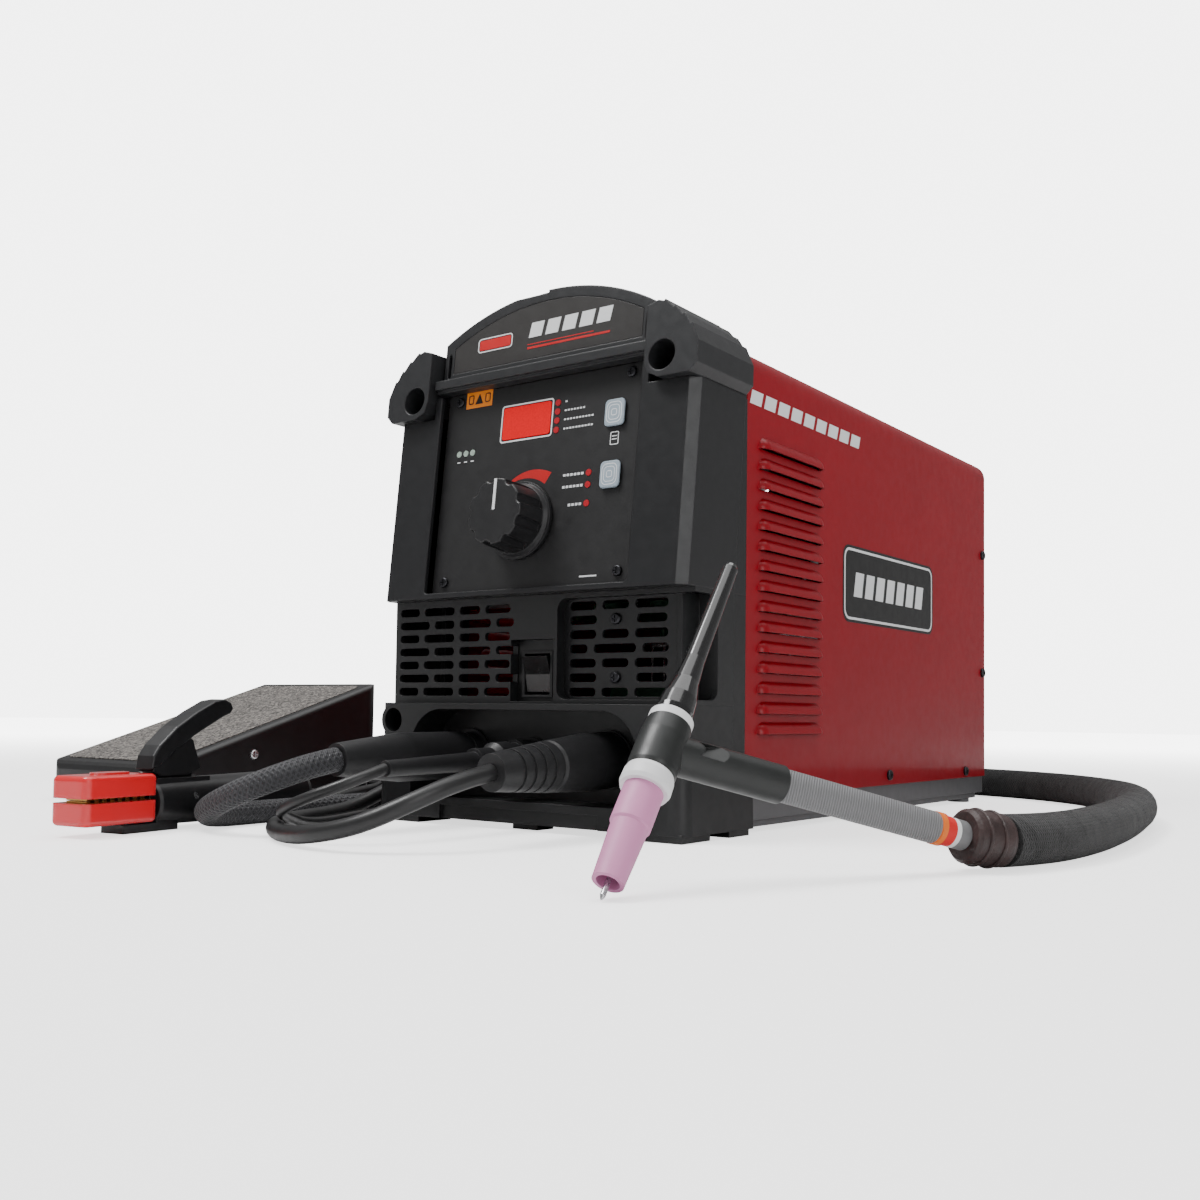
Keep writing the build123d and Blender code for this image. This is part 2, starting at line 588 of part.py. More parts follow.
ARCH_CENTRE_V = header_v(ARCH_TOP) - ARCH_R


def arch_face(half, bottom, radius, thickness=0.0):
    """An arch-topped face; with a thickness, only the band under its top edge."""
    with BuildSketch(HEADER, mode=Mode.PRIVATE) as face:
        with Locations((0, ARCH_CENTRE_V)):
            Circle(radius)
        if thickness:
            with Locations((0, ARCH_CENTRE_V)):
                Circle(radius - thickness, mode=Mode.SUBTRACT)
        with Locations((0, bottom + 60)):
            Rectangle(2 * half, 120, mode=Mode.INTERSECT)
    return face.sketch


with BuildPart() as top_handle:
    extrude(arch_face(ARCH_HALF, header_v(290.5), ARCH_R), amount=-4)
    extrude(arch_face(ARCH_HALF, header_v(300), ARCH_R, ARCH_BAND), amount=-HANDLE_DEPTH)
    # end posts of the grip, which stand on the fascia
    for side in (-1, 1):
        plate(HEADER, 7, 24, (side * (ARCH_HALF - 3.5), header_v(312.5)), -HANDLE_DEPTH)
    block((-90, 90), (10.8, 70), (280, COVER_TOP), mode=Mode.SUBTRACT)
    # recess for the blank name plate, and the narrow slots beside it
    extrude(arch_face(78, header_v(303), ARCH_R - 7), amount=-1.2, mode=Mode.SUBTRACT)
    for side in (-1, 1):
        plate(HEADER.offset(1), 3.0, 17, (side * 81.6, header_v(309)), -4.5, radius=1.4,
              mode=Mode.SUBTRACT)
    # lip over the control panel
    plate(HEADER, 2 * 86.5, 6, (0, header_v(293.5)), 7.5)
    plate(HEADER.offset(-3), 2 * 86.5, 4, (0, header_v(290.6)), 7.5)
    # notch on the crown of the arch
    plate(HEADER.offset(0.5), 26, 4, (-12, header_v(ARCH_TOP)), -3.5, mode=Mode.SUBTRACT)
    fillet(
        top_handle.edges().filter_by(GeomType.CIRCLE).filter_by(
            lambda e: abs(e.radius - ARCH_R) < 0.1 and e.center().Y > 20),
        3,
    )
save(top_handle.part, "top_handle")

with BuildPart() as nameplate:
    extrude(arch_face(77.6, header_v(303.4), ARCH_R - 7.4), amount=-1.2)
    extrude(arch_face(77.6, header_v(303.4), ARCH_R - 7.4), amount=1)
    split(bisect_by=HEADER.offset(-0.2), keep=Keep.BOTTOM)
save(nameplate.part, "nameplate")

# ---------------------------------------------------------------- red cover with its louvres
HOOD_R = 8.5
HOOD_SUNK = 3.5            # how far the hood's centre line lies inside the sheet
HOOD_T = 1.2
LOUVRE_ZS = [LOUVRE_TOP_Z - LOUVRE_PITCH * row for row in range(LOUVRE_COUNT)]


def capsule(radius, y_ends, at):
    """A round-ended bar along Y, the shape that presses out one louvre."""
    with BuildPart(mode=Mode.PRIVATE) as bar:
        with Locations(Location((0, 0, 0), (90, 0, 0))):
            Cylinder(radius, y_ends[1] - y_ends[0] - 2 * radius)
        with Locations((0, (y_ends[1] - y_ends[0]) / 2 - radius, 0),
                       (0, -(y_ends[1] - y_ends[0]) / 2 + radius, 0)):
            Sphere(radius)
        split(bisect_by=Plane.XY, keep=Keep.TOP)
    return bar.part.moved(Location((at[0], (y_ends[0] + y_ends[1]) / 2, at[1])))


with BuildPart() as wrap_cover:
    with BuildSketch(front_plane(COVER_FRONT)) as cover_section:
        with Locations((0, (COVER_BOTTOM + COVER_TOP) / 2)):
            Rectangle(2 * COVER_HALF, COVER_TOP - COVER_BOTTOM)
        fillet(cover_section.vertices().group_by(Axis.Y)[-1], COVER_BEND)
        with BuildSketch(mode=Mode.SUBTRACT) as cover_inside:
            with Locations((0, (COVER_BOTTOM + COVER_TOP) / 2 - SHEET)):
                Rectangle(2 * (COVER_HALF - SHEET), COVER_TOP - COVER_BOTTOM)
            fillet(cover_inside.vertices().group_by(Axis.Y)[-1], COVER_BEND - SHEET)
    extrude(amount=-(COVER_BACK - COVER_FRONT))
    hood_x = COVER_HALF - HOOD_SUNK
    add([capsule(HOOD_R, LOUVRE_Y, (side * hood_x, z)) for side in (-1, 1) for z in LOUVRE_ZS])
    add([capsule(HOOD_R - HOOD_T, (LOUVRE_Y[0] + HOOD_T, LOUVRE_Y[1] - HOOD_T), (side * hood_x, z))
         for side in (-1, 1) for z in LOUVRE_ZS], mode=Mode.SUBTRACT)
    block((-COVER_HALF + SHEET, COVER_HALF - SHEET), (75, 180), (30, 290), mode=Mode.SUBTRACT)
    # holes for the cover's screws
    with Locations(*[Location((side * COVER_HALF, y, z), (0, 90, 0))
                     for side in (-1, 1) for y, z in COVER_SCREWS]):
        Cylinder(2.1, 12, mode=Mode.SUBTRACT)
save(wrap_cover.part, "wrap_cover")


def screw(position, direction, head_r, head_h, shank_r=0.0, shank_l=0.0):
    """A pan-head screw with a cross recess; the head stands on the plane at position."""
    with BuildPart(mode=Mode.PRIVATE) as fastener:
        Cylinder(head_r, head_h, align=(Align.CENTER, Align.CENTER, Align.MIN))
        fillet(fastener.faces().sort_by(Axis.Z)[-1].edges(), head_h * 0.55)
        with Locations((0, 0, head_h)):
            Box(head_r * 1.15, head_r * 0.24, head_h * 0.9, mode=Mode.SUBTRACT)
            Box(head_r * 0.24, head_r * 1.15, head_h * 0.9, mode=Mode.SUBTRACT)
        if shank_l:
            Cylinder(shank_r, shank_l, align=(Align.CENTER, Align.CENTER, Align.MAX))
    return fastener.part.moved(Plane(origin=position, z_dir=direction).location)


with BuildPart() as case_screws:
    for side in (-1, 1):
        for y, z in COVER_SCREWS:
            add(screw((side * COVER_HALF, y, z), (side, 0, 0), 4.0, 2.4, 2.0, 5.0))
    for x in (-SCREW_X, SCREW_X):
        for v in (-SCREW_V, SCREW_V):
            spot = PANEL.from_local_coords((x, v, 0))
            add(screw(tuple(spot), tuple(PANEL.z_dir), 3.4, 2.0, 1.35, 6.0))
    for row in (1, 5):
        add(screw((60, INSERT_Y, SLOT_BOTTOM_Z + SLOT_PITCH * row), (0, -1, 0), 3.6, 2.2, 1.4, 2.4))
save(case_screws.part, "case_screws")

# ---------------------------------------------------------------- chassis and rear
PAN_Z = 7.6
PAN_T = 1.5
PAN_BACK = COVER_BACK - 3.2
FLANGE_X = COVER_HALF - SHEET - 0.1
FEET_Y = 470.0

with BuildPart() as chassis:
    block((-FLANGE_X, FLANGE_X), (COVER_FRONT + 1, PAN_BACK), (PAN_Z, PAN_Z + PAN_T))
    block((-112, 112), (19, COVER_FRONT + 2), (PAN_Z, PAN_Z + PAN_T))
    for side in (-1, 1):
        block(sorted((side * (FLANGE_X - PAN_T), side * FLANGE_X)),
              (COVER_FRONT + 1, PAN_BACK), (PAN_Z, 44))
        # skid pressed into the pan's edge
        block(sorted((side * 100, side * 113)), (COVER_FRONT + 2, COVER_BACK - 12), (3.0, PAN_Z + 1))
    with Locations(*[Location((side * FLANGE_X, y, z), (0, 90, 0))
                     for side in (-1, 1) for y, z in COVER_SCREWS if z < 40]):
        Cylinder(2.1, 12, mode=Mode.SUBTRACT)
    for side in (-1, 1):
        with Locations((side * 106, FEET_Y, 0)):
            Cylinder(9, 3.0, align=(Align.CENTER, Align.CENTER, Align.MIN))
save(chassis.part, "chassis")

GLAND_AT = (62.0, 66.0)
GAS_AT = (-66.0, 62.0)
REAR_Y = COVER_BACK - 1.5

with BuildPart() as rear_panel:
    block((-FLANGE_X, FLANGE_X), (REAR_Y - PAN_T, REAR_Y), (PAN_Z, COVER_TOP - SHEET - 0.1))
    for side in (-1, 1):
        block(sorted((side * (FLANGE_X - PAN_T), side * FLANGE_X)), (REAR_Y - 20, REAR_Y),
              (46, COVER_TOP - COVER_BEND - 2))
    rod(front_plane(REAR_Y + 1), 54.0, [(0, FAN_Z)], 6, mode=Mode.SUBTRACT)
    rod(front_plane(REAR_Y + 1), 11.1, [GLAND_AT], 6, mode=Mode.SUBTRACT)
    rod(front_plane(REAR_Y + 1), 6.6, [GAS_AT], 6, mode=Mode.SUBTRACT)
    with Locations(*[Location((side * FLANGE_X, y, z), (0, 90, 0))
                     for side in (-1, 1) for y, z in COVER_SCREWS if z > 40]):
        Cylinder(2.1, 12, mode=Mode.SUBTRACT)
    with Locations(*[Location((side * COVER_HALF, 300, COVER_TOP), (90, 0, 0))
                     for side in (-1, 1)]):
        Box(2 * COVER_BEND, 2 * COVER_BEND, 600, mode=Mode.SUBTRACT)
save(rear_panel.part, "rear_panel")

FAN_FRONT = REAR_Y - PAN_T - FAN_DEPTH

with BuildPart() as fan_frame:
    plate(front_plane(REAR_Y - PAN_T), FAN_SIZE, FAN_SIZE, (0, FAN_Z), FAN_DEPTH, radius=6)
    rod(front_plane(REAR_Y - PAN_T + 1), ROTOR_R + 2, [(0, FAN_Z)], FAN_DEPTH + 2,
        mode=Mode.SUBTRACT)
    rod(front_plane(REAR_Y - PAN_T), HUB_R + 1, [(0, FAN_Z)], 3)
    for angle in (45, 135, 225, 315):
        with BuildSketch(front_plane(REAR_Y - PAN_T), mode=Mode.PRIVATE) as strut:
            with Locations((0, FAN_Z)):
                with PolarLocations((HUB_R + ROTOR_R) / 2, 1, start_angle=angle):
                    Rectangle(ROTOR_R - HUB_R + 6, 4)
        extrude(strut.sketch, amount=3)
    rod(front_plane(REAR_Y - PAN_T - 1), 2.5, [(0, FAN_Z)], 19)
save(fan_frame.part, "fan_frame")

with BuildPart() as fan_rotor:
    rod(front_plane(REAR_Y - PAN_T - 4), HUB_R, [(0, FAN_Z)], 18)
    rod(front_plane(REAR_Y - PAN_T - 3), 2.55, [(0, FAN_Z)], 17.5, mode=Mode.SUBTRACT)
    blade_plane = Plane(origin=(0, REAR_Y - PAN_T - 13, FAN_Z), x_dir=(1, 0, 0), z_dir=(0, -1, 0))
    for blade in range(BLADES):
        with BuildPart(mode=Mode.PRIVATE) as vane:
            with Locations(Location((HUB_R + (ROTOR_R - HUB_R) / 2 - 1, 0, 0), (38, 0, 0))):
                Box(ROTOR_R - HUB_R + 2, 20, 1.8)
        add(vane.part.moved(blade_plane.location * Location((0, 0, 0), (0, 0, 360 / BLADES * blade))))
save(fan_rotor.part, "fan_rotor")

with BuildPart() as fan_guard:
    for radius in (14, 25, 36, 47, 57):
        with Locations(Location((0, REAR_Y + 3.2, FAN_Z), (90, 0, 0))):
            Torus(radius, 1.2)
    for angle in range(0, 180, 45):
        with Locations(Location((0, REAR_Y + 1.2, FAN_Z), (0, angle, 0))):
            Cylinder(1.2, 118)
save(fan_guard.part, "fan_guard")

with BuildPart() as power_cord_gland:
    rod(front_plane(REAR_Y - 12), 11.0, [GLAND_AT], -12)
    with BuildSketch(front_plane(REAR_Y), mode=Mode.PRIVATE) as gland_nut:
        with Locations(GLAND_AT):
            RegularPolygon(15, 6)
    extrude(gland_nut.sketch, amount=-8)
    rod(front_plane(REAR_Y + 8), 10.5, [GLAND_AT], -10)
    rod(front_plane(REAR_Y - 13), 6.0, [GLAND_AT], -34, mode=Mode.SUBTRACT)
save(power_cord_gland.part, "power_cord_gland")

with BuildPart() as gas_valve:
    with BuildSketch(front_plane(REAR_Y), mode=Mode.PRIVATE) as gas_nut:
        with Locations(GAS_AT):
            RegularPolygon(10, 6)
    extrude(gas_nut.sketch, amount=-5)
    rod(front_plane(REAR_Y - 12), 6.5, [GAS_AT], -28)
    rod(front_plane(REAR_Y - 13), 3.0, [GAS_AT], -30, mode=Mode.SUBTRACT)
    block((GAS_AT[0] - 14, GAS_AT[0] + 14), (430, REAR_Y - 12), (48, 76))
    block((GAS_AT[0] - 11, GAS_AT[0] + 11), (436, 474), (76, 104))
    block((GAS_AT[0] - 10, GAS_AT[0] + 10), (440, 470), (PAN_Z + PAN_T, 48))
save(gas_valve.part, "gas_valve")

SINK_TOP = 138.0
with BuildPart() as heat_sink:
    block((-84, 84), (262, 424), (SINK_TOP - 8, SINK_TOP))
    for fin in range(15):
        x = -84 + fin * 11.86
        foot = PAN_Z + PAN_T if fin in (0, 14) else 62
        block((x, x + 2), (262, 424), (foot, SINK_TOP - 7))
save(heat_sink.part, "heat_sink")

with BuildPart() as power_board:
    block((-92, 92), (120, 430), (SINK_TOP + 8, SINK_TOP + 9.8))
    for x in (-76, 76):
        for y in (270, 416):
            with Locations((x, y, SINK_TOP + 4)):
                Cylinder(4, 8)
    for x in (-50, 0, 50):
        with Locations((x, 160, SINK_TOP + 9.8)):
            Cylinder(17, 50, align=(Align.CENTER, Align.CENTER, Align.MIN))
    block((-70, 70), (300, 390), (SINK_TOP + 9.8, SINK_TOP + 42))
    block((-82, -62), (210, 250), (SINK_TOP + 9.8, SINK_TOP + 60))
    # the transformer stands on the pan in front of the heat sink
    block((-46, 46), (150, 236), (PAN_Z + PAN_T, 96))
    block((-34, 34), (140, 246), (26, 80))
save(power_board.part, "power_board")

# ---------------------------------------------------------------- front connectors
def socket(x, radius, flange_r):
    """A panel socket in the rear wall of the connector bay."""
    with BuildPart() as outlet:
        rod(front_plane(SOCKET_BACK + 22), radius, [(x, SOCKET_Z)], 24)
        rod(front_plane(SOCKET_BACK), flange_r, [(x, SOCKET_Z)], 2.5)
        rod(front_plane(SOCKET_BACK + 18), radius * 0.48, [(x, SOCKET_Z)], 24, mode=Mode.SUBTRACT)
    return outlet.part


PLUG_FACE = SOCKET_BACK - 2.5

with BuildPart() as front_sockets:
    add(socket(TORCH_X, 12.8, 17.5))
    add(socket(WORK_X, 12.8, 18.5))
    add(socket(REMOTE_X, 8.8, 12.5))
save(front_sockets.part, "front_sockets")

torch_plug_plane = axis_plane((TORCH_X, PLUG_FACE, SOCKET_Z), BRAID_ROUTE[0])
torch_plug_length = (Vector(*BRAID_ROUTE[0]) - Vector(TORCH_X, PLUG_FACE, SOCKET_Z)).length
torch_plug = turned(
    torch_plug_plane,
    [(-14, 4.8), (0.15, 4.8), (0.15, 15.0), (8, 15.0), (8, 14.2), (12, 14.2), (12, 15.5), (66, 15.5),
     (torch_plug_length - 6, 10.6), (torch_plug_length, 9.8)],
)
save(torch_plug, "torch_plug")

remote_plug_plane = axis_plane((REMOTE_X, PLUG_FACE, SOCKET_Z), PEDAL_CABLE_ROUTE[0])
remote_plug_length = (Vector(*PEDAL_CABLE_ROUTE[0]) - Vector(REMOTE_X, PLUG_FACE, SOCKET_Z)).length
remote_profile = [(-12, 3.3), (0.35, 3.3), (0.35, 10.5), (6, 10.5), (6, 11.5), (18, 11.5), (18, 10.0),
                  (26, 10.0), (26, 11.0), (38, 11.0), (42, 8.0), (56, 8.0), (56, 6.0)]
remote_profile += [(remote_plug_length, 4.6)]
remote_plug = turned(remote_plug_plane, remote_profile)
save(remote_plug, "remote_plug")

electrode_plug_plane = axis_plane((WORK_X, PLUG_FACE, SOCKET_Z), HOLDER_CABLE_ROUTE[0])
electrode_plug_length = (Vector(*HOLDER_CABLE_ROUTE[0])
                         - Vector(WORK_X, PLUG_FACE, SOCKET_Z)).length
electrode_profile = [(-12, 4.8), (0.8, 4.8), (0.8, 17.5), (24, 17.5), (58, 15.2)]
for rib in range(5):
    start = 60 + rib * 8
    radius = 15.0 - rib * 0.75
    electrode_profile += [(start, radius - 0.9), (start + 2, radius - 0.9), (start + 2, radius),
                          (start + 8, radius - 0.6)]
electrode_profile += [(electrode_plug_length, 10.6)]
electrode_plug = turned(electrode_plug_plane, electrode_profile)
save(electrode_plug, "electrode_plug")

# ---------------------------------------------------------------- torch
HEAD = Plane(origin=CUP_TIP, x_dir=(1, 0, 0.1163), z_dir=HEAD_AXIS)
HANDLE_START = tuple(Vector(*CUP_TIP) + Vector(*HEAD_AXIS).normalized() * HANDLE_AT)
HANDLE = axis_plane(HANDLE_START, HANDLE_END)
HANDLE_LENGTH = (Vector(*HANDLE_END) - Vector(*HANDLE_START)).length
TORCH_BOOT = axis_plane(HANDLE_END, LEAD_COVER_ROUTE[0])
BOOT_LENGTH = (Vector(*LEAD_COVER_ROUTE[0]) - Vector(*HANDLE_END)).length

cup_outside = turned(HEAD, [(0, 6.85), (27, 8.0), (28, 8.8), (46, 8.8)])
with BuildPart() as alumina_cup:
    add(cup_outside)
    add(turned(HEAD, [(-1, 5.0), (24, 5.4), (26, 7.0), (45, 7.0)]), mode=Mode.SUBTRACT)
save(alumina_cup.part, "alumina_cup")

tungsten_profile = [(-8.0, 0.4), (-6.2, 1.2), (22, 1.2), (24, 4.6), (45, 4.6)]
save(turned(HEAD, tungsten_profile), "tungsten")
with BuildPart() as head_gaskets:
    add(turned(HEAD, [(46, 10.6), (48, 11.4), (53, 11.2), (55, 10.6)]))
    add(turned(HEAD, [(82, 10.15), (86, 10.15)]))
save(head_gaskets.part, "head_gaskets")
back_cap = turned(HEAD, [(86, 8.2), (90, 8.6), (98, 8.0), (108, 5.9), (122, 4.8), (183, 3.9),
                         (185, 3.2)])
save(back_cap, "back_cap")

with BuildPart() as torch_head:
    add(turned(HEAD, [(55, 10.6), (57, 11.0), (74, 11.0), (82, 10.2)]))
    add(turned(HANDLE, [(0, 8.85), (62, 8.85)]))
    add(turned(HEAD, [(40, 30), (55, 30)]), mode=Mode.SUBTRACT)
    # blank oval recess on the side that faces away from the case
    badge = Plane(origin=HANDLE.from_local_coords((0, 0, 30)), x_dir=HANDLE.z_dir,
                  z_dir=HANDLE.z_dir.cross(Vector(0, 0, 1)).cross(HANDLE.z_dir) * 0.5
                  + Vector(0.3, -0.45, 0))
    plate(badge.offset(8.3), 26, 8, (0, 0), 4, radius=3.9, mode=Mode.SUBTRACT)
save(torch_head.part, "torch_head")

save(turned(HANDLE, [(62, 7.7), (150, 7.7), (150, 8.0), (HANDLE_LENGTH - 14, 8.0),
                     (HANDLE_LENGTH - 14, 7.2), (HANDLE_LENGTH, 7.2)]), "torch_handle")
save(turned(TORCH_BOOT, [(0, 11.6), (2, 13.2), (BOOT_LENGTH - 2, 13.2), (BOOT_LENGTH, 12.8)]),
     "torch_boot")

# ---------------------------------------------------------------- electrode holder, lying along its own X
HOLDER = Plane(origin=(HOLDER_AT[0], HOLDER_AT[1], 0),
               x_dir=(cos(radians(HOLDER_HEADING)), sin(radians(HOLDER_HEADING)), 0),
               z_dir=(0, 0, 1))
HOLDER_AXIS = Plane(origin=(0, 0, HOLDER_AXIS_Z), x_dir=(0, 0, 1), z_dir=(1, 0, 0))
HOLDER_PIVOT = (24.0, 20.0)
JAW_X = (-60.0, -7.0)
JAW_HALF = 14.5
JAW_LOWER_Z = (6.2, 19.2)
JAW_UPPER_Z = (22.0, 34.6)
TAIL_X = 133.0


def save_on_holder(part, name):
    placed = part.moved(HOLDER.location)
    save(placed, name)


with BuildPart() as holder_body:
    add(turned(HOLDER_AXIS, [(-4, 12.6), (-2, 13.6), (10, 14), (60, 14.6), (110, 15.4),
                             (128, 16.0), (TAIL_X, 14)]))
    block((-28, 14), (-9, 9), (0, 5.2))
    block((-3, 14), (-9, 9), (0, 10))
    block((-34, 9), (-3, 3), (7.5, 13.5))
    block((-2, 41), (-8, 8), (26, 31.2))
    block((-8, 40), (-3.4, 3.4), (14, 50), mode=Mode.SUBTRACT)
    with Locations(Location((HOLDER_PIVOT[0], 0, HOLDER_PIVOT[1]), (90, 0, 0))):
        Cylinder(2.05, 40, mode=Mode.SUBTRACT)
save_on_holder(holder_body.part, "holder_body")

with BuildPart() as holder_pin:
    with Locations(Location((HOLDER_PIVOT[0], 0, HOLDER_PIVOT[1]), (90, 0, 0))):
        Cylinder(2.0, 26)
save_on_holder(holder_pin.part, "holder_pin")

with BuildPart() as jaw_cover_lower:
    block(JAW_X, (-JAW_HALF, JAW_HALF), JAW_LOWER_Z)
    fillet(jaw_cover_lower.edges().filter_by(Axis.Z), 4.5)
    fillet(jaw_cover_lower.faces().sort_by(Axis.Z)[0].edges(), 3)
    block((JAW_X[0] + 4, JAW_X[1] + 1), (-8, 8), (16.5, 20), mode=Mode.SUBTRACT)
    block((-34, 9), (-3, 3), (7.5, 13.5), mode=Mode.SUBTRACT)
save_on_holder(jaw_cover_lower.part, "jaw_cover_lower")

with BuildPart() as jaw_cover_upper:
    block(JAW_X, (-JAW_HALF, JAW_HALF), JAW_UPPER_Z)
    fillet(jaw_cover_upper.edges().filter_by(Axis.Z), 4.5)
    fillet(jaw_cover_upper.faces().sort_by(Axis.Z)[-1].edges(), 3)
    with BuildSketch(Plane.XY.offset(JAW_UPPER_Z[1] - 0.4)):
        with Locations((-31, 0)):
            SlotOverall(25, 12)
    extrude(amount=1.6)
    block((JAW_X[0] + 4, JAW_X[1] + 1), (-8, 8), (21, 24), mode=Mode.SUBTRACT)
    block((-34, 9), (-3, 3), (28, 33), mode=Mode.SUBTRACT)
save_on_holder(jaw_cover_upper.part, "jaw_cover_upper")


def toothed_bar(z, height, tooth_z, tooth_h):
    """A brass contact bar with cross teeth."""
    with BuildPart() as bar:
        block((JAW_X[0] + 4, JAW_X[1]), (-8, 8), (z, z + height))
        for tooth in range(8):
            x = JAW_X[0] + 6 + tooth * 5.6
            block((x, x + 3), (-8, 8), (tooth_z, tooth_z + tooth_h))
    return bar.part


save_on_holder(toothed_bar(16.5, 2.9, 19.3, 1.0), "jaw_contact_lower")
save_on_holder(toothed_bar(21.6, 2.4, 20.6, 1.1), "jaw_contact_upper")

with BuildPart() as lever_grip:
    with BuildSketch(Plane.XZ.offset(7)):
        with BuildLine():
            Polyline((-6, 36.5), (-4.5, 44.5), (0.5, 51), (14, 62), (30, 71), (46, 78.2), (54.5, 79.4),
                     (60, 77.2), (62, 73.4), (59.5, 70.2), (53, 68), (30, 57), (13, 47.6), (1, 38.5),
                     close=True)
        make_face()
    extrude(amount=-14)
    fillet(lever_grip.faces().filter_by(Axis.Y).edges(), 1.4)

with BuildPart() as holder_lever:
    add(lever_grip.part)
    # arm in the body's slot, up to the lever
    outline(Plane.XZ.offset(3),
            [(-34, 28), (-34, 33), (-4, 33), (-3, 38), (8, 48), (24, 56), (27, 50), (30, 36),
             (31, 28), (28, 17), (20, 16), (12, 24), (4, 28)], -6)
    # wide web under the lever
    outline(Plane.XZ.offset(6),
            [(-4, 35), (-2, 40), (8, 48), (24, 56), (28, 53.5), (35, 36.2), (24, 32.6), (4, 32.2)],
            -12)
    with Locations(Location((HOLDER_PIVOT[0], 0, HOLDER_PIVOT[1]), (90, 0, 0))):
        Cylinder(2.05, 40, mode=Mode.SUBTRACT)
save_on_holder(holder_lever.part, "holder_lever")

# ---------------------------------------------------------------- foot pedal
PEDAL_WALL = 3.0
PEDAL_GAP = 0.6
TREADLE_TOP = [(PEDAL_Y[0], 30.6), (PEDAL_Y[1] - 6, 97.0)]
SLOPE = atan((TREADLE_TOP[1][1] - TREADLE_TOP[0][1]) / (TREADLE_TOP[1][0] - TREADLE_TOP[0][0]))
TREADLE_SIDE = [
    (PEDAL_Y[0], 14), (PEDAL_Y[0], 24.6), (PEDAL_Y[0] + 1.2, 28.4), (PEDAL_Y[0] + 3.6, 30.9),
    (PEDAL_Y[0] + 7, 32.6), (PEDAL_Y[1] - 9, 96.3),
    (PEDAL_Y[1] - 3, 95.5), (PEDAL_Y[1], 90), (PEDAL_Y[1], 44), (30, 14),
]
PEDAL_MID = (PEDAL_X[0] + PEDAL_X[1]) / 2
PEDAL_PLANE = Plane(origin=(PEDAL_MID, (PEDAL_Y[0] + PEDAL_Y[1]) / 2 - 3,
                            (TREADLE_TOP[0][1] + TREADLE_TOP[1][1]) / 2),
                    x_dir=(1, 0, 0), z_dir=(0, -sin(SLOPE), cos(SLOPE)))
PAD_SIZE = (PEDAL_X[1] - PEDAL_X[0] - 16, 202.0)
AXLE = Plane.YZ.offset(PEDAL_X[0])



def rounded_plan(inset_x, inset_front, inset_back, radius):
    """Keeps only what lies inside a rounded rectangle, seen from above, of the open builder."""
    low, high = PEDAL_Y[0] + inset_front, PEDAL_Y[1] - inset_back
    with BuildSketch() as plan:
        with Locations((PEDAL_MID, (low + high) / 2)):
            RectangleRounded(PEDAL_X[1] - PEDAL_X[0] - 2 * inset_x, high - low, radius)
    extrude(plan.sketch, amount=120, mode=Mode.INTERSECT)


with BuildPart() as treadle_room:
    inside = [(PEDAL_Y[0] + PEDAL_WALL, 5), (PEDAL_Y[0] + PEDAL_WALL, 25.2),
              (PEDAL_Y[1] - 10, 92.0), (PEDAL_Y[1] - PEDAL_WALL, 87), (PEDAL_Y[1] - PEDAL_WALL, 5)]
    outline(AXLE.offset(PEDAL_WALL), inside, PEDAL_X[1] - PEDAL_X[0] - 2 * PEDAL_WALL)
    rounded_plan(PEDAL_WALL, PEDAL_WALL, PEDAL_WALL, 12)

with BuildPart() as pedal_treadle:
    outline(AXLE, TREADLE_SIDE, PEDAL_X[1] - PEDAL_X[0])
    long_edges = pedal_treadle.edges().filter_by(lambda e: e.center().Z > 50 and e.length > 150
                                                 and abs(e.center().X - PEDAL_MID) > 60)
    fillet(long_edges, 5)
    rounded_plan(0, 0, 0, 15)
    add(treadle_room.part, mode=Mode.SUBTRACT)
    plate(PEDAL_PLANE.offset(-1.3), *PAD_SIZE, (0, 0), 10, radius=10, mode=Mode.SUBTRACT)
    rod(AXLE.offset(-5), 4.05, [PEDAL_PIVOT], 170, mode=Mode.SUBTRACT)
save(pedal_treadle.part, "pedal_treadle")

with BuildPart() as pedal_pad:
    plate(PEDAL_PLANE.offset(-1.3), PAD_SIZE[0] - 0.4, PAD_SIZE[1] - 0.4, (0, 0), 1.8, radius=9.8)
save(pedal_pad.part, "pedal_pad")

BASE_X = (PEDAL_X[0] + PEDAL_WALL + PEDAL_GAP, PEDAL_X[1] - PEDAL_WALL - PEDAL_GAP)
with BuildPart() as pedal_base:
    outline(Plane.YZ.offset(BASE_X[0]),
            [(-60, 0), (-60, 20), (-4, 30), (6, 46), (22, 46), (34, 36), (143, 44), (143, 0)],
            BASE_X[1] - BASE_X[0])
    rounded_plan(PEDAL_WALL + PEDAL_GAP, 8, 5, 11)
    block((BASE_X[0] + 3, BASE_X[1] - 3), (-53, 136), (3, 60), mode=Mode.SUBTRACT)
    rod(Plane.YZ.offset(BASE_X[0] - 2), 4.0, [PEDAL_PIVOT], 160, mode=Mode.SUBTRACT)
    block((-344, -322), (40, 62), (2, 34))
    rod(front_plane(142), 5.0, [(PEDAL_TAIL_ROUTE[-1][0], PEDAL_TAIL_ROUTE[-1][2])], -6.5)
save(pedal_base.part, "pedal_base")

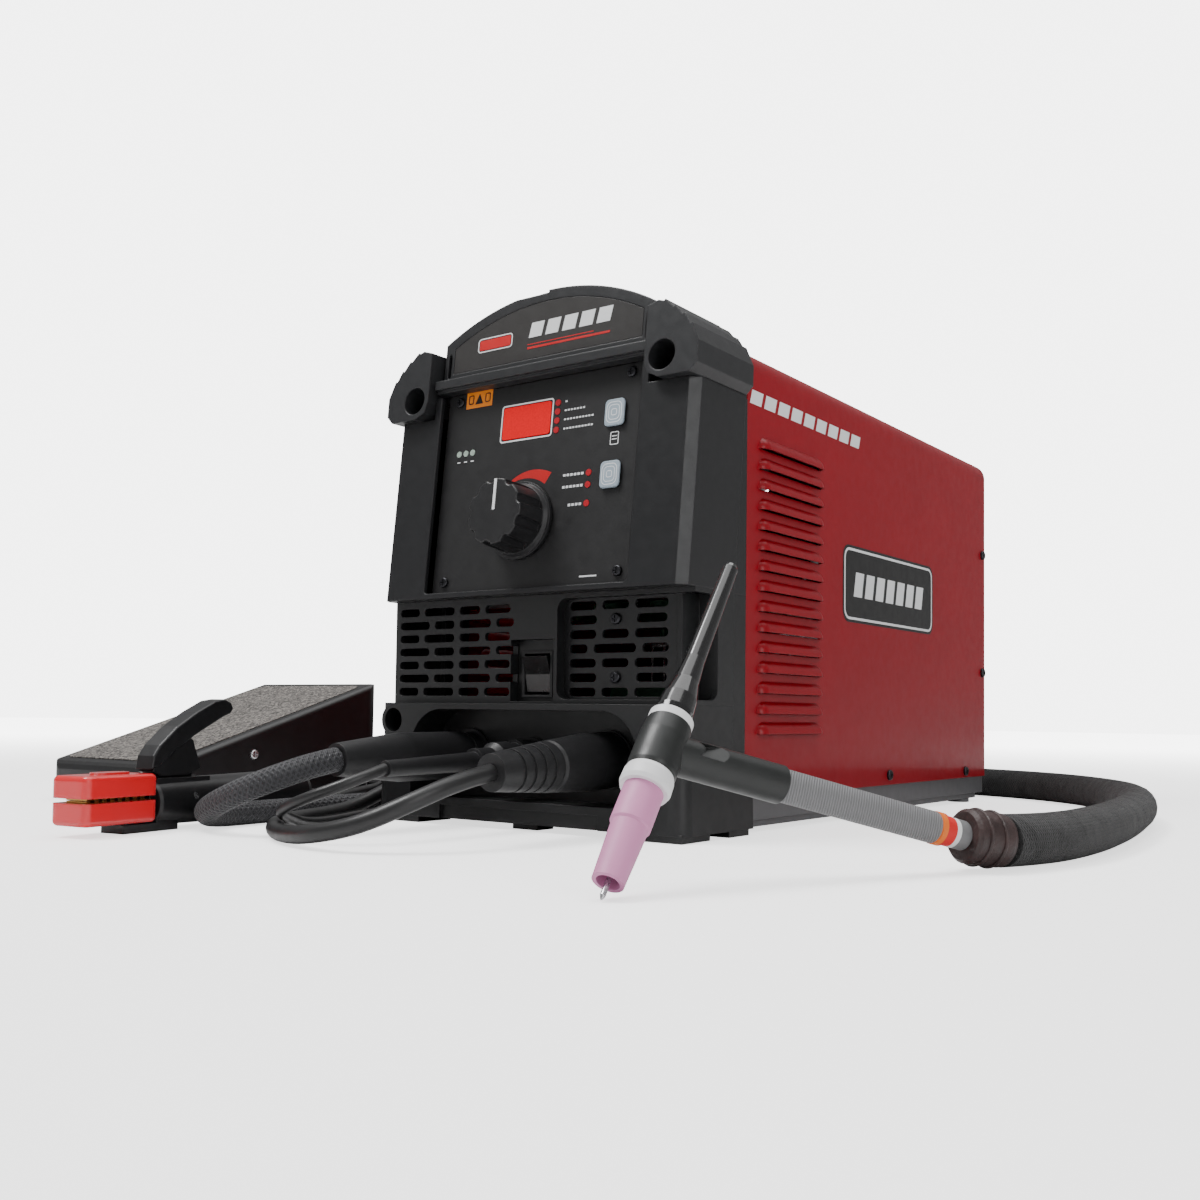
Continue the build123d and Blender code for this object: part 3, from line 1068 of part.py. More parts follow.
with BuildPart() as pedal_axle:
    rod(AXLE.offset(0.5), 4.0, [PEDAL_PIVOT], PEDAL_X[1] - PEDAL_X[0] - 1.0)
    for x, side in ((PEDAL_X[0] + 0.5, -1), (PEDAL_X[1] - 0.5, 1)):
        add(screw((x, *PEDAL_PIVOT), (side, 0, 0), 3.7, 2.2))
    # return spring round the axle, with a leg down to the base
    for turn in range(6):
        with Locations(Location((-386 + turn * 3.4, *PEDAL_PIVOT), (0, 90, 0))):
            Torus(5.5, 1.75)
    block((-387, -385), (17.5, 19.5), (3, 40))
save(pedal_axle.part, "pedal_axle")

# ---------------------------------------------------------------- leads
save(cord(BRAID_ROUTE, BRAID_D, "braided lead"), "braided_lead")
save(cord(LEAD_COVER_ROUTE, COVER_D, "lead cover"), "lead_cover")
save(cord(HOLDER_CABLE_ROUTE, HOLDER_CABLE_D, "holder cable"), "holder_cable")
save(cord(HOLDER_TAIL_ROUTE, HOLDER_CABLE_D, "holder cable tail"), "holder_cable_tail")
save(cord(PEDAL_CABLE_ROUTE, PEDAL_CABLE_D, "pedal cable"), "pedal_cable")
save(cord(PEDAL_TAIL_ROUTE, PEDAL_CABLE_D, "pedal cable tail"), "pedal_cable_tail")

save(ring(COVER_COIL_AT, COVER_COIL_R - COVER_D / 2, COVER_COIL_R + COVER_D / 2,
          COVER_COIL_TURNS * COVER_D), "lead_cover_coil")
save(ring(HOLDER_COIL_AT, HOLDER_COIL_R - HOLDER_COIL_BUNDLE[0] * HOLDER_CABLE_D / 2,
          HOLDER_COIL_R + HOLDER_COIL_BUNDLE[0] * HOLDER_CABLE_D / 2,
          HOLDER_COIL_BUNDLE[1] * HOLDER_CABLE_D), "holder_cable_coil")
save(ring(PEDAL_COIL_AT, PEDAL_COIL_R - PEDAL_COIL_BUNDLE[0] * PEDAL_CABLE_D / 2,
          PEDAL_COIL_R + PEDAL_COIL_BUNDLE[0] * PEDAL_CABLE_D / 2,
          PEDAL_COIL_BUNDLE[1] * PEDAL_CABLE_D), "pedal_cable_coil")

collar_start = BRAID_ROUTE[-1]
collar_end = (collar_start[0] - 22, collar_start[1] + 5, collar_start[2] + 0.2)
save(turned(axis_plane(collar_start, collar_end), [(0, 8.4), (4, 12.4), (26, 12.4)]), "lead_collar")
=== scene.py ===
import bpy
import math
from mathutils import Matrix, Vector


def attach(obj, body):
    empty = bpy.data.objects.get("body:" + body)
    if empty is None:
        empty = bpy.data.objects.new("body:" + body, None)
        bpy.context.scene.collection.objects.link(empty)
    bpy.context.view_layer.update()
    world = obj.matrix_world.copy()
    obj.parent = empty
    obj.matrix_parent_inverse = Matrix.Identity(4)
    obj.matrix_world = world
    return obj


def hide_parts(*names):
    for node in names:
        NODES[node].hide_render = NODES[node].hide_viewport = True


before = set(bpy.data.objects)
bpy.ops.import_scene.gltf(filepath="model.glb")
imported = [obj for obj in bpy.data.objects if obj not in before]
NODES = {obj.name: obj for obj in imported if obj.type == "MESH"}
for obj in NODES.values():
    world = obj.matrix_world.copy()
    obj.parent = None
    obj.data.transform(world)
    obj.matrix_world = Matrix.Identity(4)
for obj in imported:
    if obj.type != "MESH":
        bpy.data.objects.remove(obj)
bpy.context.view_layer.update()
MM = 0.001              # routes and marks are given in mm, the scene is in metres

# ------------------------------------------------------------------ camera
camera_data = bpy.data.cameras.new("camera")
camera = bpy.data.objects.new("camera", camera_data)
bpy.context.scene.collection.objects.link(camera)
bpy.context.scene.camera = camera
camera_data.sensor_width = 36.0
camera_data.lens = 37.14
camera_data.shift_x = 0.0
camera_data.shift_y = 0.0485
camera_data.clip_start = 0.05
camera_data.clip_end = 60.0
# solved from the edges of the case in the photo
CAMERA_AT = Vector((0.49828, -0.60876, 0.07336))
YAW, PITCH, ROLL = math.radians(36.143), math.radians(2.566), math.radians(0.7754)
ahead = Vector((-math.sin(YAW) * math.cos(PITCH), math.cos(YAW) * math.cos(PITCH),
                math.sin(PITCH)))
right = Vector((math.cos(YAW), math.sin(YAW), 0))
up = right.cross(ahead)
right_rolled = right * math.cos(ROLL) + up * math.sin(ROLL)
up_rolled = up * math.cos(ROLL) - right * math.sin(ROLL)
camera.matrix_world = Matrix((
    (right_rolled.x, up_rolled.x, -ahead.x, CAMERA_AT.x),
    (right_rolled.y, up_rolled.y, -ahead.y, CAMERA_AT.y),
    (right_rolled.z, up_rolled.z, -ahead.z, CAMERA_AT.z),
    (0, 0, 0, 1),
))

# ------------------------------------------------------------------ cords
BRAID_D, COVER_D, HOLDER_D, PEDAL_D = 0.015, 0.026, 0.010, 0.0065   # diameters in metres

# control points of the centre lines in mm, as in part.py, less the point where each route meets
# its coil: turns() gives that one
BRAID_ROUTE = [
    (-62, -106, 44), (-62.5, -122, 41.5), (-72, -141, 34.5), (-91, -152, 26), (-114, -153, 17),
    (-133, -145, 10.5), (-144, -127, 7.6), (-147, -94, 7.6), (-151, -58, 7.6), (-155, -18, 7.6),
    (-156, 24, 7.6), (-153, 66, 7.6), (-145, 110, 7.6), (-140, 158, 7.6), (-139, 208, 7.6),
    (-144, 252, 7.6), (-160, 288, 8.4), (-188, 311, 10.4), (-222, 322, 12.8),
]
COVER_ROUTE = [
    (299, -4, 14.2), (306, 22, 13.3), (312, 55, 13.1), (314, 95, 13.1), (313, 140, 13.1),
    (308, 195, 13.1), (301, 250, 13.1), (292, 310, 13.1), (277, 370, 13.1), (253, 428, 13.1),
    (220, 480, 13.1), (180, 522, 13.1), (133, 552, 13.1), (78, 571, 13.1), (15, 584, 13.1),
    (-54, 594, 16), (-114, 598, 28), (-172, 600, 45), (-230, 600.2, 59),
]
HOLDER_ROUTE = [
    (52, -97, 40.4), (51, -120, 37), (43, -146, 27), (22, -166, 14), (-10, -171, 7.5),
    (-44, -160, 5.2), (-73, -142, 5.2), (-97, -120, 5.2), (-114, -92, 5.2), (-126, -58, 5.2),
    (-139, -20, 7), (-143, 22, 20), (-147, 56, 31), (-160, 92, 31), (-169, 126, 17),
    (-172, 158, 5.2),
]
HOLDER_TAIL = [
    (-288.5, 163, 12), (-280.5, 137, 6.5), (-271, 104, 5.2), (-251, 66, 5.2), (-222, 35, 5.6),
    (-198, 4, 9), (-182.6, -33.5, 16.6),
]
PEDAL_ROUTE = [
    (-8, -118, 41), (-8.5, -131, 37.5), (-17.5, -146, 31), (-32, -154, 25), (-48, -154, 19.5),
    (-62, -146.5, 15), (-74, -131, 11), (-86, -109, 5.5), (-97, -84, 3.4), (-108, -58, 3.4),
    (-121, -32, 3.4), (-130.5, -2, 3.4), (-132, 34, 3.4), (-128, 72, 3.4), (-126, 112, 3.4),
    (-126, 152, 8), (-127, 194, 26), (-138, 232, 26), (-164, 262, 13), (-204, 277, 3.4),
    (-256, 280, 3.4), (-320, 272, 3.4),
]
PEDAL_TAIL = [(-432.5, 204, 8.6), (-426, 184, 8.6), (-418, 166, 11), (-415, 148.5, 14)]


def turns(centre, start_angle, sense, slots, last, window, steps=24):
    """Points of a coil whose turn k lies in slots[k] = (radius, height). Each change of slot has
    an angle of its own behind the end of the last, partial turn, so no two strands meet: the
    last full turn changes first and the first one last."""
    count = len(slots) - 1
    points = []
    for i in range(int(steps * (count + last)) + 1):
        turned = i / steps
        k = min(int(turned), count)
        along = turned - k
        radius, height = slots[k]
        if k < count:
            begin = 1.0 - (k + 1) * window
            mix = min(max((along - begin) / window, 0.0), 1.0)
            mix = mix * mix * (3 - 2 * mix)
            radius += (slots[k + 1][0] - radius) * mix
            height += (slots[k + 1][1] - height) * mix
        angle = start_angle + sense * 2 * math.pi * turned
        points.append((centre[0] + radius * math.cos(angle), centre[1] + radius * math.sin(angle),
                       height))
    return points


# each turn's (radius, height) in mm
COVER_SLOTS = [(135, 13.1), (135, 39.15), (135, 65.2)]
HOLDER_SLOTS = [(55, 5.2), (45, 5.2), (45, 15.2), (55, 15.2), (65, 15.2)]
PEDAL_LOWEST, PEDAL_LAYER = 3.4, 6.5
PEDAL_SLOTS = [(radius, PEDAL_LOWEST + PEDAL_LAYER * layer) for radius, layer in (
    (42.5, 0), (36, 0), (36, 1), (36, 2), (36, 3), (36, 4), (42.5, 4), (42.5, 3), (49, 3), (49, 2),
    (42.5, 2), (42.5, 1), (49, 1))]
cover_coil = turns((-290, 465), -math.pi / 2, -1, COVER_SLOTS, 0.5, 0.25)
holder_coil = turns((-226, 185), 0, 1, HOLDER_SLOTS, 0.5, 0.125)
pedal_coil = turns((-385, 225), math.pi / 2, 1, PEDAL_SLOTS, 0.25, 0.0625)


def cord_curve(name, points, diameter, resolution=6):
    """A round cord: one open quadratic NURBS with its route's control points, in mm."""
    data = bpy.data.curves.new(name, "CURVE")
    data.dimensions = "3D"
    data.bevel_depth = 1.0
    data.bevel_resolution = 8
    data.resolution_u = resolution
    data.use_fill_caps = True
    spline = data.splines.new("NURBS")
    spline.points.add(len(points) - 1)
    for point, at in zip(spline.points, points):
        point.co = (at[0] * MM, at[1] * MM, at[2] * MM, 1)
        point.radius = diameter / 2
    spline.order_u = 3
    spline.use_endpoint_u = True
    obj = bpy.data.objects.new(name, data)
    bpy.context.scene.collection.objects.link(obj)
    return obj


def route_length(points, steps=8):
    """Length in metres of the quadratic curve that the control points shape."""
    length, last = 0.0, Vector(points[0])
    for i in range(1, len(points) - 1):
        before, b, after = (Vector(p) for p in points[i - 1:i + 2])
        a = before if i == 1 else (before + b) / 2
        c = after if i == len(points) - 2 else (b + after) / 2
        for s in range(1, steps + 1):
            t = s / steps
            here = a * (1 - t) ** 2 + b * 2 * t * (1 - t) + c * t * t
            length += (here - last).length
            last = here
    return length * MM


COLLAR_END = (-244, 327, 13.0)          # where the cover begins, behind the braid's collar
COIL_SKIPPED = 3                        # points at the coil's start, which the way in replaces
braid_points = BRAID_ROUTE
cover_points = [COLLAR_END] + cover_coil[COIL_SKIPPED:] + COVER_ROUTE[::-1]
holder_points = HOLDER_ROUTE + holder_coil + HOLDER_TAIL
pedal_points = PEDAL_ROUTE + pedal_coil + PEDAL_TAIL

braid = cord_curve("braided_lead_cord", braid_points, BRAID_D, 10)
cover = cord_curve("lead_cover_cord", cover_points, COVER_D, 8)
holder_cord = cord_curve("holder_cord", holder_points, HOLDER_D)
pedal_cord = cord_curve("pedal_cord", pedal_points, PEDAL_D)

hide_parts("braided_lead")
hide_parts("lead_cover", "lead_cover_coil")
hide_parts("holder_cable", "holder_cable_coil", "holder_cable_tail")
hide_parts("pedal_cable", "pedal_cable_coil", "pedal_cable_tail")
for rider in (braid, cover, holder_cord, pedal_cord):
    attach(rider, "machine")
braid_length, cover_length = route_length(braid_points), route_length(cover_points)
holder_length, pedal_length = route_length(holder_points), route_length(pedal_points)


# ------------------------------------------------------------------ materials
def new_material(name):
    """A material with its nodes, its links and its shader."""
    material = bpy.data.materials.new(name)
    material.use_nodes = True
    nodes = material.node_tree.nodes
    return material, nodes, material.node_tree.links, nodes["Principled BSDF"]


def noise(nodes, links, coords, scale, detail=4.0, rough=0.55):
    """A noise of 0 to 1 in the object's own space."""
    node = nodes.new("ShaderNodeTexNoise")
    node.inputs["Scale"].default_value = scale
    node.inputs["Detail"].default_value = detail
    node.inputs["Roughness"].default_value = rough
    links.new(coords, node.inputs["Vector"])
    return node.outputs["Fac"]


def span(nodes, links, value, low, high):
    """Maps 0.3 to 0.7 of a noise onto low to high."""
    node = nodes.new("ShaderNodeMapRange")
    node.inputs["From Min"].default_value = 0.3
    node.inputs["From Max"].default_value = 0.7
    node.inputs["To Min"].default_value = low
    node.inputs["To Max"].default_value = high
    links.new(value, node.inputs["Value"])
    return node.outputs["Result"]


def rounded_normal(nodes, radius):
    """The normal of a surface whose edges are rounded."""
    node = nodes.new("ShaderNodeBevel")
    node.samples = 4
    node.inputs["Radius"].default_value = radius
    return node.outputs["Normal"]


def bump(nodes, links, height, strength, distance, normal=None):
    """The normal that a height in metres makes, on top of another normal."""
    node = nodes.new("ShaderNodeBump")
    node.inputs["Strength"].default_value = strength
    node.inputs["Distance"].default_value = distance
    links.new(height, node.inputs["Height"])
    if normal is not None:
        links.new(normal, node.inputs["Normal"])
    return node.outputs["Normal"]


def tinted(nodes, links, value, colour, change):
    """A colour that a noise makes a little lighter and darker."""
    node = nodes.new("ShaderNodeMix")
    node.data_type = "RGBA"
    node.inputs["A"].default_value = (*[c * (1 - change) for c in colour], 1)
    node.inputs["B"].default_value = (*[min(1, c * (1 + change)) for c in colour], 1)
    links.new(value, node.inputs["Factor"])
    return node.outputs["Result"]


def plastic(name, colour, rough=0.45, grain=2600.0, grain_depth=0.00003, strength=0.35, edge=0.0005,
            change=0.08, coat=0.0, specular=0.5):
    """A moulded or painted surface: a fine grain, soft wear in its sheen, and rounded edges."""
    material, nodes, links, shader = new_material(name)
    coords = nodes.new("ShaderNodeTexCoord").outputs["Object"]
    fine = noise(nodes, links, coords, grain, 3.0)
    broad = noise(nodes, links, coords, 22.0, 5.0, 0.6)
    smear = noise(nodes, links, coords, 140.0, 4.0)
    links.new(tinted(nodes, links, span(nodes, links, broad, 0, 1), colour, change),
              shader.inputs["Base Color"])
    links.new(span(nodes, links, smear, rough * 0.88, rough * 1.12), shader.inputs["Roughness"])
    links.new(bump(nodes, links, fine, strength, grain_depth, rounded_normal(nodes, edge)),
              shader.inputs["Normal"])
    shader.inputs["Coat Weight"].default_value = coat
    shader.inputs["Coat Roughness"].default_value = 0.08
    shader.inputs["Specular IOR Level"].default_value = specular
    return material


def metal(name, colour, rough=0.3, brushed=(1.0, 1.0, 1.0), edge=0.0003):
    """Bare metal with fine drawn lines along one axis."""
    material, nodes, links, shader = new_material(name)
    coords = nodes.new("ShaderNodeTexCoord").outputs["Object"]
    stretch = nodes.new("ShaderNodeMapping")
    stretch.inputs["Scale"].default_value = brushed
    links.new(coords, stretch.inputs["Vector"])
    lines = noise(nodes, links, stretch.outputs["Vector"], 900.0, 4.0, 0.7)
    links.new(tinted(nodes, links, span(nodes, links, lines, 0, 1), colour, 0.12),
              shader.inputs["Base Color"])
    links.new(span(nodes, links, lines, rough * 0.7, rough * 1.3), shader.inputs["Roughness"])
    links.new(bump(nodes, links, lines, 0.25, 0.00002, rounded_normal(nodes, edge)),
              shader.inputs["Normal"])
    shader.inputs["Metallic"].default_value = 1.0
    return material


def arithmetic(nodes, links, kind, *values):
    """One math node on numbers and other nodes' outputs."""
    node = nodes.new("ShaderNodeMath")
    node.operation = kind
    for socket, value in zip(node.inputs, values):
        if isinstance(value, (int, float)):
            socket.default_value = value
        else:
            links.new(value, socket)
    return node.outputs["Value"]


def woven(name, colour, length, around, lean, depth, rough=0.75, wrinkles=0.0):
    """A braided sleeve on a curve: two sets of flat strands that cross, drawn in the curve's own
    length and girth. around strands lie side by side round the cord, and each runs lean along it
    while it goes once round."""
    material, nodes, links, shader = new_material(name)
    uv = nodes.new("ShaderNodeSeparateXYZ")
    links.new(nodes.new("ShaderNodeTexCoord").outputs["UV"], uv.inputs["Vector"])
    girth = arithmetic(nodes, links, "MULTIPLY", uv.outputs["Y"], around * 2 * math.pi)
    slope = arithmetic(nodes, links, "MULTIPLY", uv.outputs["X"],
                       length / lean * around * 2 * math.pi)
    one = arithmetic(nodes, links, "SINE", arithmetic(nodes, links, "ADD", girth, slope))
    two = arithmetic(nodes, links, "SINE", arithmetic(nodes, links, "SUBTRACT", girth, slope))
    over = arithmetic(nodes, links, "MAXIMUM", one, two)
    thread = arithmetic(nodes, links, "SINE", arithmetic(
        nodes, links, "MULTIPLY", arithmetic(nodes, links, "ADD", girth, slope), 3.0))
    height = arithmetic(nodes, links, "ADD", over,
                        arithmetic(nodes, links, "MULTIPLY", thread, 0.3))
    coords = nodes.new("ShaderNodeTexCoord").outputs["Object"]
    fluff = noise(nodes, links, coords, 1500.0, 3.0)
    # the colour follows the weave's height: darker in the grooves between the strands and lighter
    # on their crossings, as painted shade
    painted_weave_shade = arithmetic(nodes, links, "MULTIPLY_ADD", height, 0.4, 0.5)
    links.new(tinted(nodes, links, painted_weave_shade, colour, 0.6), shader.inputs["Base Color"])
    links.new(span(nodes, links, fluff, rough * 0.85, min(1.0, rough * 1.1)),
              shader.inputs["Roughness"])
    relief = bump(nodes, links, height, 0.7, depth)
    relief = bump(nodes, links, fluff, 0.3, depth * 0.3, relief)
    if wrinkles:
        folds = noise(nodes, links, coords, 34.0, 3.0, 0.5)
        relief = bump(nodes, links, folds, 0.9, wrinkles * 4, relief)
    links.new(relief, shader.inputs["Normal"])
    shader.inputs["Sheen Weight"].default_value = 0.12
    shader.inputs["Sheen Roughness"].default_value = 0.4
    return material


def speckled(name):
    """The pedal's gritty pad: coarse grains of several greys set in black."""
    material, nodes, links, shader = new_material(name)
    coords = nodes.new("ShaderNodeTexCoord").outputs["Object"]
    cells = nodes.new("ShaderNodeTexVoronoi")
    cells.inputs["Scale"].default_value = 620.0
    links.new(coords, cells.inputs["Vector"])
    ramp = nodes.new("ShaderNodeValToRGB")
    ramp.color_ramp.elements[0].color = (0.03, 0.027, 0.025, 1)
    ramp.color_ramp.elements[1].color = (0.24, 0.22, 0.2, 1)
    ramp.color_ramp.elements.new(0.5).color = (0.1, 0.093, 0.086, 1)
    grey = nodes.new("ShaderNodeSeparateColor")
    links.new(cells.outputs["Color"], grey.inputs["Color"])
    links.new(grey.outputs["Red"], ramp.inputs["Fac"])
    links.new(ramp.outputs["Color"], shader.inputs["Base Color"])
    shader.inputs["Roughness"].default_value = 0.8
    near = arithmetic(nodes, links, "SUBTRACT", 1.0, cells.outputs["Distance"])
    fine = noise(nodes, links, coords, 2400.0, 3.0)
    relief = bump(nodes, links, near, 0.9, 0.0006)
    links.new(bump(nodes, links, fine, 0.5, 0.0002, relief), shader.inputs["Normal"])
    return material


RIBS_END = 0.149                        # metres from the handle's start
BAND_START, BAND_END = 0.1495, 0.1615
BAND_COLOURS = [(0.0, (0.75, 0.16, 0.01, 1)), (0.28, (0.62, 0.008, 0.006, 1)),
                (0.78, (0.75, 0.75, 0.75, 1))]


def ribbed_grip(name, colour, origin, axis, pitch):
    """Fine diagonal ribs on the torch's grip, with an orange, red and white band at its end."""
    material, nodes, links, shader = new_material(name)
    coords = nodes.new("ShaderNodeTexCoord").outputs["Object"]
    dot = nodes.new("ShaderNodeVectorMath")
    dot.operation = "DOT_PRODUCT"
    dot.inputs[1].default_value = tuple(axis)
    links.new(coords, dot.inputs[0])
    start = Vector(origin).dot(Vector(axis))
    along = arithmetic(nodes, links, "SUBTRACT", dot.outputs["Value"], start)
    side = Vector(axis).cross(Vector((0, 0, 1))).normalized()
    across = nodes.new("ShaderNodeVectorMath")
    across.operation = "DOT_PRODUCT"
    across.inputs[1].default_value = tuple(side)
    links.new(coords, across.inputs[0])
    lean = arithmetic(nodes, links, "ADD", along, arithmetic(
        nodes, links, "MULTIPLY", across.outputs["Value"], 0.6))
    ring = arithmetic(nodes, links, "SINE",
                      arithmetic(nodes, links, "MULTIPLY", lean, 2 * math.pi / pitch))
    inside = arithmetic(nodes, links, "LESS_THAN", along, RIBS_END)
    rings = arithmetic(nodes, links, "MULTIPLY", ring, inside)
    fine = noise(nodes, links, coords, 1800.0, 3.0)
    # the grip's colour follows the ribs: darker in their grooves and lighter on their crests, as
    # painted shade
    base = tinted(nodes, links, arithmetic(nodes, links, "MULTIPLY_ADD", rings, 0.5, 0.5),
                  colour, 0.22)
    bands = nodes.new("ShaderNodeValToRGB")
    bands.color_ramp.interpolation = "CONSTANT"
    first, second = bands.color_ramp.elements
    first.position, first.color = BAND_COLOURS[0]
    second.position, second.color = BAND_COLOURS[1]
    bands.color_ramp.elements.new(BAND_COLOURS[2][0]).color = BAND_COLOURS[2][1]
    place = nodes.new("ShaderNodeMapRange")
    place.inputs["From Min"].default_value = BAND_START
    place.inputs["From Max"].default_value = BAND_END
    links.new(along, place.inputs["Value"])
    links.new(place.outputs["Result"], bands.inputs["Fac"])
    on_band = arithmetic(nodes, links, "MULTIPLY",
                         arithmetic(nodes, links, "GREATER_THAN", along, BAND_START),
                         arithmetic(nodes, links, "LESS_THAN", along, BAND_END))
    both = nodes.new("ShaderNodeMix")
    both.data_type = "RGBA"
    links.new(on_band, both.inputs["Factor"])
    links.new(base, both.inputs["A"])
    links.new(bands.outputs["Color"], both.inputs["B"])
    links.new(both.outputs["Result"], shader.inputs["Base Color"])
    shader.inputs["Roughness"].default_value = 0.6
    relief = bump(nodes, links, rings, 0.6, 0.00022)
    links.new(bump(nodes, links, fine, 0.3, 0.00005, relief), shader.inputs["Normal"])
    return material


def leather(name, colour):
    """The torch boot's soft skin: small cells and broad folds."""
    material, nodes, links, shader = new_material(name)
    coords = nodes.new("ShaderNodeTexCoord").outputs["Object"]
    cells = nodes.new("ShaderNodeTexVoronoi")
    cells.inputs["Scale"].default_value = 700.0
    links.new(coords, cells.inputs["Vector"])
    folds = noise(nodes, links, coords, 160.0, 5.0)
    # the colour follows the folds: darker in their hollows and lighter on their crests, as painted
    # shade
    links.new(tinted(nodes, links, span(nodes, links, folds, 0, 1), colour, 0.35),
              shader.inputs["Base Color"])
    links.new(span(nodes, links, folds, 0.35, 0.6), shader.inputs["Roughness"])
    relief = bump(nodes, links, cells.outputs["Distance"], 0.5, 0.00015)
    links.new(bump(nodes, links, folds, 0.8, 0.0012, relief), shader.inputs["Normal"])
    return material


def glow(name, colour, strength, rough=0.25):
    """A lens that lights up a little from inside."""
    material, nodes, links, shader = new_material(name)
    coords = nodes.new("ShaderNodeTexCoord").outputs["Object"]
    fine = noise(nodes, links, coords, 900.0, 3.0)
    links.new(tinted(nodes, links, span(nodes, links, fine, 0, 1), colour, 0.1),
              shader.inputs["Base Color"])
    shader.inputs["Roughness"].default_value = rough
    shader.inputs["Emission Color"].default_value = (*colour, 1)
    shader.inputs["Emission Strength"].default_value = strength
    shader.inputs["Specular IOR Level"].default_value = 0.15
    return material


# the torch as it lies on the floor, in metres: part.py's axes of the head and the handle
HEAD_LENGTH = 0.068
HEAD_FROM = Vector((0.212, -0.2096, 0.0069))
HEAD_AXIS = Vector((-0.087, 0.658, 0.748)).normalized()
HANDLE_FROM = HEAD_FROM + HEAD_AXIS * HEAD_LENGTH
HANDLE_TO = Vector((0.2875, -0.0236, 0.0173))
HANDLE_AXIS = (HANDLE_TO - HANDLE_FROM).normalized()

black = plastic("black moulding", (0.0085, 0.0088, 0.0095), 0.4, 2200, 0.00004, 0.5, 0.0006)
fascia_black = plastic("fascia", (0.0105, 0.0108, 0.012), 0.36, 1900, 0.00004, 0.45, 0.0012)
bumper_grey = plastic("bumper", (0.017, 0.0175, 0.019), 0.38, 1500, 0.00006, 0.6, 0.0012)
panel_black = plastic("panel", (0.009, 0.0088, 0.0095), 0.5, 3200, 0.00002, 0.4, 0.0004)
plate_grey = plastic("name plate", (0.030, 0.028, 0.027), 0.36, 2600, 0.00003, 0.4, 0.0004,
                     coat=0.15)
red = plastic("red paint", (0.26, 0.0008, 0.0075), 0.36, 700, 0.00003, 0.10, 0.0010, 0.05,
              coat=0.12, specular=0.2)
grey_metal = plastic("grey paint", (0.10, 0.10, 0.105), 0.4, 900, 0.00004, 0.2, 0.0005)
knob_black = plastic("knob", (0.011, 0.011, 0.012), 0.42, 2200, 0.00003, 0.45, 0.0008)
rocker_black = plastic("rocker", (0.006, 0.006, 0.0065), 0.25, 1500, 0.00002, 0.2, 0.0006, coat=0.2)
plug_black = plastic("plug rubber", (0.011, 0.011, 0.012), 0.45, 1200, 0.00006, 0.5, 0.0006)
cable_black = plastic("cable rubber", (0.012, 0.012, 0.0125), 0.4, 1000, 0.00005, 0.4, 0.0002)
torch_black = plastic("torch black", (0.011, 0.0125, 0.012), 0.4, 1600, 0.00004, 0.4, 0.0006)
white = plastic("insulator", (0.78, 0.78, 0.79), 0.45, 1400, 0.00002, 0.25, 0.0005, 0.02)
pink = plastic("alumina", (0.62, 0.24, 0.44), 0.5, 1700, 0.00003, 0.4, 0.0003, 0.04)
cap_black = plastic("back cap", (0.006, 0.006, 0.0065), 0.16, 900, 0.00002, 0.1, 0.0004, coat=0.6)
holder_black = plastic("holder", (0.009, 0.009, 0.010), 0.36, 1700, 0.00004, 0.45, 0.0008)
coral = plastic("jaw coral", (0.70, 0.012, 0.018), 0.24, 900, 0.00002, 0.15, 0.0012, 0.04, coat=0.5)
pedal_black = plastic("pedal paint", (0.0065, 0.0065, 0.007), 0.38, 1500, 0.00004, 0.4, 0.0012)
board_green = plastic("board", (0.02, 0.13, 0.05), 0.4, 900, 0.00002, 0.2, 0.0003)
key = plastic("key", (0.33, 0.40, 0.46), 0.3, 1400, 0.00002, 0.2, 0.0005, coat=0.3)
steel = metal("steel", (0.62, 0.62, 0.64), 0.28)
dark_screw = metal("dark screw", (0.05, 0.05, 0.055), 0.35)
aluminium = metal("aluminium", (0.75, 0.75, 0.77), 0.32, (1, 8, 1))
brass = metal("brass", (0.55, 0.32, 0.10), 0.3, (6, 1, 1))
pad = speckled("grit pad")
grip = ribbed_grip("torch grip", (0.17, 0.17, 0.175), HANDLE_FROM, HANDLE_AXIS, 0.0014)
boot = leather("boot leather", (0.032, 0.016, 0.015))
display = glow("display", (0.60, 0.002, 0.006), 0.35, 0.5)
braid_cloth = woven("braided sleeve", (0.020, 0.020, 0.023), braid_length, 10, 0.05, 0.0005, 0.55)
cover_cloth = woven("woven cover", (0.0085, 0.0083, 0.0085), cover_length, 20, 0.034, 0.0006, 0.85,
                    wrinkles=0.0022)
print_white = plastic("white print", (0.75, 0.76, 0.77), 0.5, 1500, 0.00001, 0.1, 0.00002, 0.05)
print_red = plastic("red print", (0.55, 0.004, 0.006), 0.45, 1500, 0.00001, 0.1, 0.00002, 0.05)
print_orange = plastic("orange print", (0.80, 0.22, 0.01), 0.45, 1500, 0.00001, 0.1, 0.00002, 0.05)
print_black = plastic("black print", (0.006, 0.006, 0.006), 0.4, 1500, 0.00001, 0.1, 0.00002)

